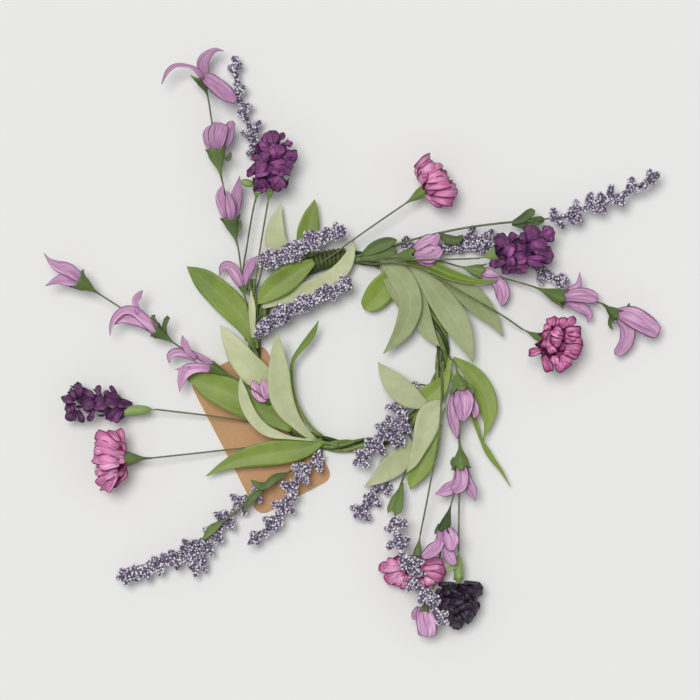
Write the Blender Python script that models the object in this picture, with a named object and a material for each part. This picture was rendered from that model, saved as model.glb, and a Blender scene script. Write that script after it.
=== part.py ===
"""Small open wreath of dried-look lavender, lilac chains, pink and purple flowers and leafy stems.

It lies face up: X runs to the right, Y to the top of the wreath, and Z up, towards the one who looks at it.
The origin is on the surface that it lies on, under the middle of its outer box.
Places over the surface are given in pixels of the reference photograph, through PIXEL and MIDDLE, with a
height in millimetres. Everything else is a real size.
"""
import math
import random

import bmesh
import bpy
from mathutils import Matrix, Vector

MM = 0.001
TAG_WIDTH = 0.050
TAG_WIDTH_IN_PIXELS = 84.0
PIXEL = TAG_WIDTH / TAG_WIDTH_IN_PIXELS
MIDDLE = (352.7, 341.2)

GAP = 0.35 * MM
RING_SPOT = (348.5, 351.5)
RING_RADIUS = 56.4 * MM
RING_THICK = 4.2 * MM
RING_HEIGHT = 3.9 * MM
RING_CORNERS = 7
RING_TURNS = 11
LOBES = 3
TAPE_FROM = 101.0
TAPE_TO = 122.0
WIRE = 0.5 * MM
LEAF_THICK = 0.7 * MM
TAG_THICK = 0.8 * MM
UP = Vector((0, 0, 1))

COLOURS = {
    "leaf": ((0.24, 0.35, 0.08, 1), 0.6),
    "stem": ((0.19, 0.26, 0.05, 1), 0.55),
    "tape": ((0.06, 0.11, 0.04, 1), 0.75),
    "calyx": ((0.09, 0.19, 0.07, 1), 0.65),
    "beads": ((0.30, 0.25, 0.40, 1), 0.5),
    "lilac": ((0.54, 0.27, 0.50, 1), 0.7),
    "purple": ((0.13, 0.02, 0.16, 1), 0.7),
    "dark_purple": ((0.04, 0.015, 0.06, 1), 0.7),
    "pink": ((0.62, 0.10, 0.33, 1), 0.7),
    "kraft": ((0.46, 0.27, 0.14, 1), 0.9),
}

for old in list(bpy.data.objects):
    bpy.data.objects.remove(old)
PARTS = bpy.data.collections.new("dried_lavender_wreath")
CUTTERS = bpy.data.collections.new("cutters")
bpy.context.scene.collection.children.link(PARTS)
bpy.context.scene.collection.children.link(CUTTERS)


def finish(kind):
    """The material of one kind of piece."""
    if kind in bpy.data.materials:
        return bpy.data.materials[kind]
    colour, roughness = COLOURS[kind]
    material = bpy.data.materials.new(kind)
    material.use_nodes = True
    shader = material.node_tree.nodes["Principled BSDF"]
    shader.inputs["Base Color"].default_value = colour
    shader.inputs["Roughness"].default_value = roughness
    shader.inputs["Metallic"].default_value = 0.0
    return material


def place(name, mesh, kind):
    """Puts a mesh in the model as the piece of that name."""
    mesh.name = name
    mesh.materials.clear()
    mesh.materials.append(finish(kind))
    piece = bpy.data.objects.new(name, mesh)
    PARTS.objects.link(piece)
    return piece


def at(u, v, height):
    """The point over pixel u, v at a height in millimetres."""
    return Vector(((u - MIDDLE[0]) * PIXEL, (MIDDLE[1] - v) * PIXEL, height * MM))


def lobe(around, over):
    """Half the ring's thickness in one direction: its twisted stems stand out as lobes."""
    return RING_THICK * (0.90 + 0.10 * math.cos(LOBES * over + RING_TURNS * around))


def on_ring(angle, lift, clear=WIRE + GAP):
    """A point beside the ring: angle goes round the ring, and lift round its section from the outer side."""
    around = math.radians(angle)
    over = math.radians(lift)
    side = 2 * math.pi / RING_CORNERS
    first = math.floor(over / side) * side
    low = lobe(around, first)
    high = lobe(around, first + side)
    turn = over - first
    skin = low * high * math.sin(side) / (low * math.sin(turn) + high * math.sin(side - turn))
    if TAPE_FROM - 1 < angle < TAPE_TO + 1:
        skin = RING_THICK
    reach = skin + clear
    radius = RING_RADIUS + reach * math.cos(over)
    centre = at(*RING_SPOT, 0)
    return centre + Vector(
        (radius * math.cos(around), radius * math.sin(around), RING_HEIGHT + reach * math.sin(over))
    )


def smooth(points, count):
    """So many evenly spaced points on a smooth curve through the given ones."""
    ends = [2 * points[0] - points[1]] + list(points) + [2 * points[-1] - points[-2]]
    fine = []
    for a, b, c, d in zip(ends, ends[1:], ends[2:], ends[3:]):
        for step in range(10):
            t = step / 10
            fine.append(
                (2 * b + (c - a) * t + (2 * a - 5 * b + 4 * c - d) * t * t + (3 * b - a - 3 * c + d) * t**3) / 2
            )
    fine.append(Vector(points[-1]))
    runs = [0.0]
    for a, b in zip(fine, fine[1:]):
        runs.append(runs[-1] + (b - a).length)
    path = []
    spot = 0
    for index in range(count):
        wanted = runs[-1] * index / (count - 1)
        while spot < len(runs) - 2 and runs[spot + 1] < wanted:
            spot += 1
        share = (wanted - runs[spot]) / max(runs[spot + 1] - runs[spot], 1e-9)
        path.append(fine[spot].lerp(fine[spot + 1], min(share, 1.0)))
    return path


def frames(path, hint=UP):
    """The direction, side and upper direction at each point of a path."""
    result = []
    for index in range(len(path)):
        before = path[max(index - 1, 0)]
        after = path[min(index + 1, len(path) - 1)]
        ahead = (after - before).normalized()
        side = ahead.cross(hint).normalized()
        result.append((ahead, side, side.cross(ahead)))
    return result


def loft(path, radii, sides, knob=0.0, seed=0, hint=UP):
    """A closed tube through the path. With a knob share its skin stands out in staggered beads."""
    dice = random.Random(seed)
    mesh = bmesh.new()
    rings = []
    for index, (point, radius, axes) in enumerate(zip(path, radii, frames(path, hint))):
        ring = []
        for corner in range(sides):
            angle = 2 * math.pi * (corner + 0.5) / sides
            out = radius
            if knob:
                stands = 1 if (index + corner) % 2 else -1
                out *= 1 + stands * knob * dice.uniform(0.7, 1.0)
            ring.append(mesh.verts.new(point + (axes[1] * math.cos(angle) + axes[2] * math.sin(angle)) * out))
        rings.append(ring)
    for low, high in zip(rings, rings[1:]):
        for corner in range(sides):
            other = (corner + 1) % sides
            mesh.faces.new((low[corner], low[other], high[other], high[corner]))
    mesh.faces.new(rings[0][::-1])
    mesh.faces.new(rings[-1])
    return to_mesh(mesh)


def to_mesh(shape):
    """Turns a bmesh into a mesh with its faces pointing out."""
    bmesh.ops.recalc_face_normals(shape, faces=shape.faces[:])
    mesh = bpy.data.meshes.new("shape")
    shape.to_mesh(mesh)
    shape.free()
    return mesh


def wire(points, radius=WIRE, sides=4, spacing=0.009):
    """A plain round stem through the points."""
    length = sum((b - a).length for a, b in zip(points, points[1:]))
    path = smooth(points, max(3, round(length / spacing) + 1))
    return loft(path, [radius] * len(path), sides)


def blade(points, half_width, cells=(5, 2), roll=0.0, cup=0.25, fullest=0.45, wave=0.0, blunt=0.0, hint=UP):
    """A thin leaf or petal along the points, widest at the fullest share of its length."""
    path = smooth(points, cells[0] + 1)
    axes = frames(path, hint)
    mesh = bmesh.new()
    bmesh.ops.create_grid(mesh, x_segments=cells[0], y_segments=cells[1], size=1)
    for vert in mesh.verts:
        share = (vert.co.x + 1) / 2
        across = vert.co.y
        station = round(share * cells[0])
        if share < fullest:
            width = 0.30 + 0.70 * math.sin(math.pi / 2 * share / fullest)
        else:
            width = math.cos(math.pi / 2 * (share - fullest) / (1 - fullest)) ** 0.8
            width = max(width, blunt, 0.05)
        turned = Matrix.Rotation(math.radians(roll), 3, axes[station][0])
        side = turned @ axes[station][1]
        top = turned @ axes[station][2]
        reach = across * width * half_width
        rise = cup * width * half_width * across * across
        rise += wave * half_width * math.sin(2.5 * math.pi * share) * across
        vert.co = path[station] + side * reach + top * rise
    bmesh.ops.triangulate(mesh, faces=mesh.faces[:])
    bmesh.ops.solidify(mesh, geom=mesh.faces[:], thickness=LEAF_THICK)
    return to_mesh(mesh)


def unite(meshes, solver="EXACT"):
    """One body out of closed meshes that run into each other."""
    base = bpy.data.objects.new("base", meshes[0])
    CUTTERS.objects.link(base)
    others = bpy.data.collections.new("others")
    CUTTERS.children.link(others)
    for mesh in meshes[1:]:
        others.objects.link(bpy.data.objects.new("other", mesh))
    join = base.modifiers.new("join", "BOOLEAN")
    join.operation = "UNION"
    join.operand_type = "COLLECTION"
    join.collection = others
    join.solver = solver
    graph = bpy.context.evaluated_depsgraph_get()
    joined = bpy.data.meshes.new_from_object(base.evaluated_get(graph))
    for old in list(others.objects) + [base]:
        bpy.data.objects.remove(old)
    bpy.data.collections.remove(others)
    return joined


def make_ring():
    """The hoop: stems twisted round each other, flat where it lies down."""
    steps = 50
    corners = RING_CORNERS
    centre = at(*RING_SPOT, 0)
    shape = bmesh.new()
    rings = []
    for step in range(steps):
        angle = 2 * math.pi * step / steps
        degrees = math.degrees(angle)
        under_tape = TAPE_FROM - 1 < degrees < TAPE_TO + 1
        floor = TAG_THICK + GAP if OVER_TAG[0] < degrees < OVER_TAG[1] else 0.0
        ring = []
        for corner in range(corners):
            over = 2 * math.pi * corner / corners
            out = RING_THICK * 0.66 if under_tape else lobe(angle, over)
            radius = RING_RADIUS + out * math.cos(over)
            height = max(RING_HEIGHT + out * math.sin(over), floor)
            spot = Vector((radius * math.cos(angle), radius * math.sin(angle), height))
            ring.append(shape.verts.new(centre + spot))
        rings.append(ring)
    for index, low in enumerate(rings):
        high = rings[(index + 1) % steps]
        for corner in range(corners):
            other = (corner + 1) % corners
            shape.faces.new((low[corner], high[corner], high[other], low[other]))
    place("ring_stems", to_mesh(shape), "stem")


OVER_TAG = (160, 268)


def make_tape():
    """The coiled wrap: a sleeve of tape round the ring, ribbed by its turns."""
    steps = 9
    corners = 7
    bore = (RING_THICK * 0.66 + GAP) / math.cos(math.pi / corners)
    shape = bmesh.new()
    layers = []
    centre = at(*RING_SPOT, 0)
    for step in range(steps):
        angle = math.radians(TAPE_FROM + (TAPE_TO - TAPE_FROM) * step / (steps - 1))
        outer = RING_THICK * (1.02 if step % 2 else 0.93)
        pair = []
        for reach in (outer, bore):
            loop = []
            for corner in range(corners):
                over = 2 * math.pi * (corner + 0.5) / corners
                radius = RING_RADIUS + reach * math.cos(over)
                height = max(RING_HEIGHT + reach * math.sin(over), 0.0)
                spot = Vector((radius * math.cos(angle), radius * math.sin(angle), height))
                loop.append(shape.verts.new(centre + spot))
            pair.append(loop)
        layers.append(pair)
    for low, high in zip(layers, layers[1:]):
        for wall in range(2):
            for corner in range(corners):
                other = (corner + 1) % corners
                shape.faces.new((low[wall][corner], low[wall][other], high[wall][other], high[wall][corner]))
    for outer_loop, inner_loop in (layers[0], layers[-1]):
        for corner in range(corners):
            other = (corner + 1) % corners
            shape.faces.new((outer_loop[corner], outer_loop[other], inner_loop[other], inner_loop[corner]))
    place("tape_wrap_upper", to_mesh(shape), "tape")


def make_bundle():
    """Stem ends bound in tape, lying along the ring's left side and on past it."""
    path = smooth([at(256, 340, 10.9), at(254, 312, 10.9), at(252, 281, 10.9)], 14)
    radii = [2.2 * MM + 0.25 * MM * (-1) ** index for index in range(12)] + [1.8 * MM, 1.0 * MM]
    place("taped_bundle_left", loft(path, radii, 8), "tape")


TAG_LENGTH = 0.091
TAG_CORNER = 0.006
TAG_FOOT = (296.0, 498.0)
TAG_LEAN = math.degrees(math.atan2(0.461, 0.887))


def make_tag():
    """The kraft card: a flat rounded rectangle."""
    curve = bpy.data.curves.new("tag", "CURVE")
    curve.dimensions = "2D"
    curve.fill_mode = "BOTH"
    curve.extrude = TAG_THICK / 2
    outline = []
    half = TAG_WIDTH / 2
    for corner_x, corner_y, start in (
        (half - TAG_CORNER, TAG_CORNER, -90),
        (half - TAG_CORNER, TAG_LENGTH - TAG_CORNER, 0),
        (-half + TAG_CORNER, TAG_LENGTH - TAG_CORNER, 90),
        (-half + TAG_CORNER, TAG_CORNER, 180),
    ):
        for step in range(5):
            angle = math.radians(start + 90 * step / 4)
            outline.append((corner_x + TAG_CORNER * math.cos(angle), corner_y + TAG_CORNER * math.sin(angle)))
    spline = curve.splines.new("POLY")
    spline.points.add(len(outline) - 1)
    for point, (x, y) in zip(spline.points, outline):
        point.co = (x, y, 0, 1)
    spline.use_cyclic_u = True
    guide = bpy.data.objects.new("tag_guide", curve)
    CUTTERS.objects.link(guide)
    guide.location = at(*TAG_FOOT, TAG_THICK / 2 / MM)
    guide.rotation_euler = (0, 0, math.radians(TAG_LEAN))
    bpy.context.view_layer.update()
    graph = bpy.context.evaluated_depsgraph_get()
    mesh = bpy.data.meshes.new_from_object(guide.evaluated_get(graph))
    mesh.transform(guide.matrix_world)
    bpy.data.objects.remove(guide)
    card = bmesh.new()
    card.from_mesh(mesh)
    bmesh.ops.remove_doubles(card, verts=card.verts[:], dist=0.00001)
    place("kraft_tag", to_mesh(card), "kraft")


SPIKES = {
    # each: the way from the ring up to the beads, then bead clusters as u, v, height, radius in pixels
    "lavender_upper_slim": (
        [at(247.2, 287, 10.0), at(250, 262, 9), at(257, 205, 7), at(258, 165, 7)],
        [(251, 150, 8, 8), (246, 131, 10, 9), (257, 123, 10, 7), (246, 108, 11, 9), (241, 89, 11, 8),
         (235, 76, 11, 4), (235, 65, 11, 9)],
    ),
    "lavender_upper_full": (
        [at(257, 288, 14.4), at(262, 275, 17.5)],
        [(270, 265, 18, 10), (280, 258, 18.5, 11), (290, 253, 18.5, 11), (300, 248, 18.5, 10),
         (310, 245, 18.5, 10), (320, 239, 18.5, 9), (329, 235, 18.5, 8), (342, 231, 18.5, 8)],
    ),
    "lavender_inner_full": (
        [at(256.3, 334, 14.0), at(258, 333, 16.3)],
        [(264, 329, 18.5, 8), (274, 321, 18.5, 10), (285, 314, 18.5, 11), (296, 308, 18.5, 11),
         (307, 303, 18.5, 10), (317, 298, 18.5, 9), (328, 293, 18.5, 9), (341, 287, 18, 9), (352, 280, 18, 7)],
    ),
    "lavender_left_long": (
        [at(277, 482, 10.1), at(264, 490, 8.3)],
        [(255, 492, 8, 7), (246, 508, 8.5, 7), (236, 501, 8.5, 8), (229, 522, 9, 8), (216, 517, 9, 8),
         (219, 538, 10, 9), (206, 549, 11, 11), (198, 571, 11, 9), (190, 553, 12, 8), (177, 556, 12.5, 9),
         (166, 563, 13, 10), (152, 571, 13, 9), (140, 574, 13, 11), (124, 578, 13, 9)],
    ),
    "lavender_left_short": (
        [on_ring(258, 0), at(323, 457, 5)],
        [(317, 462, 8, 8), (300, 474, 13, 11), (291, 492, 14, 10), (286, 507, 14, 9), (271, 523, 14, 10),
         (257, 536, 14, 11)],
    ),
    "lavender_right_long": (
        [at(537, 221, 15), at(545, 219, 16)],
        [(556, 217, 16, 10), (576, 211, 17, 11), (598, 206, 17, 11), (607, 195, 17, 8), (618, 195, 18, 8),
         (636, 185, 18, 10), (652, 175, 18, 9)],
    ),
    "lavender_right_short": (
        [on_ring(76, 20), at(384, 248, 5.5), at(398, 245, 6.5)],
        [(408, 243, 7, 6), (424, 248, 7, 4), (446, 251, 7.5, 8), (460, 249, 7.5, 9), (474, 241, 7.5, 10),
         (487, 247, 7, 9), (500, 252, 6, 2), (525, 262, 6, 2), (543, 270, 7, 8), (553, 280, 8, 7),
         (565, 281, 8, 9)],
    ),
    "lavender_lower_long": (
        [at(394.8, 508.9, 15.8), at(395, 518, 18)],
        [(396, 524, 20, 10), (400, 541, 23, 11), (411, 562, 27, 10), (418, 580, 28, 10), (428, 596, 28.5, 9),
         (441, 614, 29, 8)],
    ),
    "lavender_lower_short": (
        [on_ring(301, 0), at(402, 449, 4.5)],
        [(396, 454, 5, 5), (386, 464, 5, 6), (376, 477, 4.5, 4), (386, 488, 5, 6), (372, 498, 8, 10),
         (360, 514, 9, 10)],
    ),
    "lavender_lower_ring": (
        [on_ring(330, 178), at(424, 384, 7)],
        [(415, 385, 9, 6), (402, 410, 14, 8), (395, 423, 17, 11), (383, 433, 17.5, 9), (374, 446, 17, 10),
         (361, 458, 15, 10)],
    ),
}
KNOB = 0.30
SPIKE_SIDES = 6
NECK = 0.9 * MM


def make_spikes():
    """Beaded lavender heads: clusters of staggered beads on a slim core."""
    for seed, (name, (way, clusters)) in enumerate(SPIKES.items()):
        path = list(way)
        radii = [WIRE] * len(way)
        centres = [at(u, v, height) for u, v, height, _ in clusters]
        sizes = [radius * PIXEL for *_, radius in clusters]
        chain = [way[-1]] + centres
        for index, (centre, size) in enumerate(zip(centres, sizes)):
            before = (centre - chain[index]).normalized()
            after = (centres[index + 1] - centre).normalized() if index + 1 < len(centres) else before
            if size < 2.5 * NECK:
                path.append(centre)
                radii.append(size * 0.8)
                continue
            near = min(0.55 * size, 0.42 * (centre - chain[index]).length)
            far = 0.55 * size
            if index + 1 < len(centres):
                far = min(far, 0.42 * (centres[index + 1] - centre).length)
            path += [centre - before * near, centre, centre + after * far]
            radii += [size * 0.72, size * 0.88, size * 0.72]
            if index + 1 < len(centres):
                room = (centres[index + 1] - centre).length - 0.9 * (size + sizes[index + 1])
                if room > -0.3 * size:
                    path.append(centre.lerp(centres[index + 1], size / (size + sizes[index + 1])))
                    radii.append(max(NECK, 0.35 * size))
        tip = path[-1] + (path[-1] - path[-2]).normalized() * 0.35 * sizes[-1]
        path.append(tip)
        radii.append(0.35 * sizes[-1])
        place(name, loft(path, radii, SPIKE_SIDES, KNOB, seed), "beads")


CHAINS = {
    # each flower: narrow end of its cup, its throat, throat radius in mm, then the petals as middle and tip
    # with half width in pixels and roll in degrees. The wire runs on from one throat to the next cup.
    "upper": {
        "way": [at(248.0, 311, 11.0), at(245.8, 299, 11.5)],
        "flowers": [
            ((244.5, 297, 11.5), (243, 285, 12.5), 2.3,
             [((233, 266, 10.8), (220, 272, 10.5), 6, 20), ((249, 270, 13), (257, 256, 12.5), 4, 0)]),
            ((238, 248, 15), (231, 220, 16), 3.4,
             [((234, 200, 13.5), (239, 178, 14), 5, 0), ((221, 208, 19.5), (218, 190, 20.5), 5, 0),
              ((231, 206, 20.5), (229, 194, 21), 6, 0)]),
            ((221, 174, 16), (217, 149, 17), 3.8,
             [((204, 136, 17), (206, 123, 17), 6, 30), ((216, 135, 21.5), (222, 122, 20), 8, 0),
              ((229, 138, 17), (234, 121, 18), 5, -30)]),
            ((207, 99, 17), (201, 79, 18), 2.3,
             [((180, 62, 20), (162, 84, 19), 4, 60), ((203, 56, 17), (223, 49, 18), 9, 0),
              ((217, 82, 24.5), (237, 104, 23), 10, 0)]),
        ],
    },
    "left": {
        "way": [on_ring(228, 178), at(294, 405, 8), at(288, 401, 12), at(283, 403, 14.2)],
        "flowers": [
            ((277.5, 404.5, 14.5), (268.5, 400.5, 16.5), 2.0,
             [((258, 397, 14.8), (254, 381, 15.2), 5, 10), ((266, 391, 19.3), (262, 379, 19.8), 5, 0)]),
            ((237, 379, 18), (212, 366, 18), 2.4,
             [((190, 346, 15.5), (169, 357, 15.5), 6, 10), ((193, 353, 21), (182, 338, 21), 4, 0),
              ((185, 365, 19), (180, 391, 18), 8, 0)]),
            ((178, 346, 18), (157, 330, 18.5), 3.0,
             [((137, 310, 19.5), (143, 293, 19), 5, 0), ((124, 308, 21), (111, 333, 19), 4, 20),
              ((138, 329, 16), (113, 328, 16), 6, 0)]),
            ((100, 295, 18.5), (79, 280, 19), 3.4,
             [((64, 267, 20.5), (45, 254, 20.5), 6, 0), ((63, 279, 19), (46, 285, 19), 6, 30)]),
        ],
    },
    "right": {
        "way": [on_ring(70, 62), at(387, 255, 11), at(392, 254, 13)],
        "flowers": [
            ((396, 254, 14.5), (414, 254, 15.5), 2.9,
             [((425, 244, 17.5), (438, 236, 19), 8, 0), ((426, 256, 19), (440, 250, 20), 8, 0),
              ((424, 262, 15.8), (432, 262, 15.5), 5, 20)]),
            ((458, 266, 12.5), (481, 271, 11.5), 2.8,
             [((490, 272, 14), (501, 272, 13.5), 5, 0), ((497, 283, 11.5), (501, 306, 10.5), 6, 0)]),
            ((535, 287, 11), (563, 298, 13), 3.2,
             [((575, 288, 13), (580, 273, 14), 5, 0), ((582, 293, 16.5), (597, 300, 15), 7, 0),
              ((573, 310, 12.5), (589, 321, 12), 4, 0)]),
            ((603, 306, 13), (617, 316, 14), 2.8,
             [((638, 316, 16), (658, 333, 15), 9, 0), ((629, 334, 13), (618, 354, 11), 6, 0)]),
        ],
    },
    "lower": {
        "way": [on_ring(1, 80), at(449, 357, 13), at(454, 363, 16)],
        "flowers": [
            ((457, 369, 18), (460, 392, 18.5), 4.2,
             [((461, 404, 23), (462, 420, 22.5), 9, 0), ((451, 412, 15.3), (456, 437, 15), 6, 0),
              ((471, 402, 18.5), (475, 417, 18), 5, -30)]),
            ((459, 441, 18.5), (461, 466, 19.5), 3.4,
             [((447, 482, 17.5), (436, 494, 17), 7, 0), ((469, 483, 19), (476, 500, 18), 6, 0),
              ((462, 478, 23), (461, 489, 23), 6, 0)]),
            ((451, 507, 22), (443, 530, 23.5), 3.2,
             [((449, 541, 27), (448, 549, 27.5), 8, 0), ((430, 542, 24.8), (419, 557, 24.8), 7, 0),
              ((449, 552, 23), (456, 563, 22.5), 4, 0)]),
            ((433, 592, 22), (425, 607, 18), 2.6,
             [((420, 622, 20), (423, 637, 17), 9, 0), ((417, 618, 16), (413, 628, 15), 5, 0),
              ((432, 618, 15.5), (435, 630, 14.5), 5, 0)]),
        ],
    },
}
COLLAR = 1.1 * MM


def corolla(throat, ahead, petals):
    """Petals round a short collar, which the wire passes through."""
    frame = frames([throat, throat + ahead])[0]
    rows = []
    shape = bmesh.new()
    outer = COLLAR + 1.0 * MM
    for reach, step in ((outer, 0), (outer, 1), (COLLAR, 1), (COLLAR, 0)):
        row = []
        for corner in range(5):
            angle = 2 * math.pi * corner / 5
            out = frame[1] * math.cos(angle) + frame[2] * math.sin(angle)
            row.append(shape.verts.new(throat + ahead * step * 2.4 * MM + out * reach))
        rows.append(row)
    for low, high in zip(rows, rows[1:] + rows[:1]):
        for corner in range(5):
            other = (corner + 1) % 5
            shape.faces.new((low[corner], low[other], high[other], high[corner]))
    bodies = [to_mesh(shape)]
    for middle, tip, half_width, roll in petals:
        middle = at(*middle)
        tip = at(*tip)
        away = middle - throat
        away -= ahead * away.dot(ahead)
        if away.length < 0.2 * MM:
            away = frame[2]
        away.normalize()
        flat = abs((middle - throat).cross(UP).normalized().dot(away))
        root = throat + ahead * 1.5 * MM + away * (COLLAR + 0.5 * MM + 0.3 * flat * half_width * PIXEL)
        bodies.append(
            blade([root, middle, tip], half_width * PIXEL, (3, 1), roll, 0, 0.6, blunt=0.12)
        )
    return unite(bodies)


def cupped(way, flowers, sides=5):
    """A wire that opens into a green cup at each flower: way is its first points, flowers the cups on it."""
    path = list(way)
    radii = [WIRE] * len(way)
    for base, throat, radius, onward in flowers:
        ahead = (throat - base).normalized()
        path += [base, base.lerp(throat, 0.35), base.lerp(throat, 0.75), throat]
        radii += [WIRE, radius * 0.5, radius, radius * 0.7]
        if onward:
            path += [throat + ahead * 0.1 * MM, throat + ahead * onward]
            radii += [WIRE, WIRE]
    return loft(path, radii, sides)


def make_chains():
    """Lilac flowers threaded on wires: one green node for a wire and its cups, one node for each flower."""
    for group, chain in CHAINS.items():
        cups = []
        for number, (base, throat, radius, petals) in enumerate(chain["flowers"], 1):
            base = at(*base)
            throat = at(*throat)
            ahead = (throat - base).normalized()
            onward = 3.2 * MM if number < len(chain["flowers"]) else 0
            cups.append((base, throat, radius * MM, onward))
            place(f"lilac_{group}_flower_{number}", corolla(throat + ahead * GAP, ahead, petals), "lilac")
        place(f"lilac_{group}_wire", cupped(chain["way"], cups), "calyx")


HEADS = {
    # each: way of its wire, foot and middle of the head, half its length, breadth and depth in pixels, build
    "purple_upper": (
        [at(253, 296, 14.2), at(256, 278, 13.3), at(259, 255, 11.5), at(264, 225, 15), at(268, 203, 19.5)],
        (269, 196, 20.5), (272, 163, 21.5), (31, 25, 18), "ball", "purple"),
    "purple_left": (
        [on_ring(231, 8), at(262, 425, 5.5), at(248, 422, 6), at(210, 416, 9), at(154, 408, 13)],
        (140, 409, 14), (97, 403, 15), (35, 20, 18), "spike", "purple"),
    "purple_right": (
        [on_ring(88, 92), at(366, 260, 14), at(400, 260, 21.5), at(450, 259.5, 22), at(478, 258, 21.5)],
        (492, 256, 21.5), (522, 250, 22), (32, 24, 18), "ball", "purple"),
    "purple_lower": (
        [on_ring(356, 30), at(454, 385, 6.5), at(458, 420, 7.5), at(459.5, 460, 10), at(459, 540, 14)],
        (459, 572, 14), (460, 602, 14), (27, 24, 20), "ball", "dark_purple"),
    "pink_upper": (
        [on_ring(112, 90), at(334, 254, 14), at(350, 242, 15), at(380, 221, 16), at(400, 206, 16)],
        (419, 195, 16), (434, 182, 19), (15, 29, 24), "open", "pink"),
    "pink_left": (
        [on_ring(240, 3), at(280, 445, 6.3), at(237, 449, 7), at(190, 454, 12), at(152, 458, 15)],
        (129, 459, 16), (111, 460, 18.5), (16, 31, 24), "open", "pink"),
    "pink_right": (
        [on_ring(83, 115), at(372, 264, 14), at(395, 263, 18), at(417, 267, 19.5), at(436, 277, 19.5),
         at(465, 294, 19), at(500, 314, 14), at(526, 330, 7), at(545, 338, 5)],
        (551, 341, 8.5), (556, 343.5, 17), (9, 27, 27), "open", "pink"),
    "pink_lower": (
        [on_ring(358, 112), at(441, 366, 13.5), at(441.5, 385, 17), at(441, 404, 19.5), at(438, 440, 20.5),
         at(428, 495, 18), at(421, 532, 12)],
        (417, 551, 11), (413, 571, 12), (17, 33, 16), "open", "pink"),
}


RINGS = {
    # each ring of petals: how many, how far forward and out their feet are, then their tips, and half width.
    # Forward is a share of half the length, and out and half width are shares of half the breadth.
    "ball": ((5, -0.62, 0.26, -0.20, 0.98, 0.48), (5, -0.40, 0.36, 0.35, 1.00, 0.46),
             (4, 0.05, 0.36, 0.85, 0.70, 0.40), (2, 0.40, 0.16, 1.05, 0.24, 0.32)),
    "spike": ((4, -0.62, 0.14, -0.40, 0.95, 0.32), (4, -0.45, 0.22, 0.05, 1.00, 0.32),
              (4, 0.00, 0.25, 0.55, 0.92, 0.30), (3, 0.35, 0.18, 1.00, 0.50, 0.26)),
    "open": ((7, -0.45, 0.25, -0.15, 1.00, 0.33), (6, -0.20, 0.25, 0.45, 0.86, 0.30),
             (4, 0.10, 0.20, 0.95, 0.50, 0.26)),
}
# the core of each build: half its length and half its breadth, as shares of the head's
CORE = {"ball": (0.85, 0.62), "spike": (0.85, 0.42), "open": (0.55, 0.45)}


def head(foot, face, half, build, seed):
    """Petals in rings round a small core."""
    dice = random.Random(seed)
    ahead = (face - foot).normalized()
    hint = UP if abs(ahead.z) < 0.9 else Vector((0, 1, 0))
    _, side, top = frames([foot, face], hint)[0]
    long, broad, deep = (size * PIXEL for size in half)
    core_long, core_broad = CORE[build]

    def spot(forward, out, angle):
        across = side * math.cos(angle) * broad + top * math.sin(angle) * deep
        return face + ahead * long * forward + across * out

    core = bmesh.new()
    bmesh.ops.create_uvsphere(core, u_segments=7, v_segments=4, radius=1)
    for vert in core.verts:
        across = side * vert.co.x * broad + top * vert.co.y * deep
        vert.co = face + ahead * vert.co.z * long * core_long + across * core_broad
    bodies = [to_mesh(core)]
    for number, (count, foot_forward, foot_out, forward, out, width) in enumerate(RINGS[build]):
        for index in range(count):
            angle = 2 * math.pi * (index + 0.5 * (number % 2)) / count + dice.uniform(-0.1, 0.1)
            reach = out * dice.uniform(0.93, 1.0)
            bulge = 0.3 * foot_out + 0.7 * reach
            points = [
                spot(foot_forward, foot_out, angle),
                spot(0.5 * (foot_forward + forward), bulge, angle),
                spot(forward, reach, angle),
            ]
            outward = side * math.cos(angle) + top * math.sin(angle)
            facing = ahead - outward * 0.6 if build == "open" else outward
            bodies.append(
                blade(points, min(broad, deep) * width, (2, 1), dice.uniform(-12, 12), 0, 0.7,
                      blunt=0.3 if build == "spike" else 0.85, hint=facing)
            )
    return unite(bodies)


def make_heads():
    """Deep purple and pink heads, each with its wire and green cup."""
    for seed, (name, (way, foot, face, half, build, kind)) in enumerate(HEADS.items(), 20):
        foot = at(*foot)
        face = at(*face)
        ahead = (face - foot).normalized()
        mouth = face - ahead * (half[0] * PIXEL * CORE[build][0] + 1.5 * GAP)
        wire_path = smooth(way, 2 * len(way))
        place(f"{name}_stem", cupped(wire_path[:-1], [(way[-1], mouth, 2.2 * MM, 0)]), "calyx")
        place(f"{name}_flower", head(foot, face, half, build, seed), kind)


TWIG = 0.9 * MM


def twig_at(angle, lift):
    """A twig's place against the ring."""
    return on_ring(angle, lift, TWIG + 2.2 * GAP)


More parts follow.
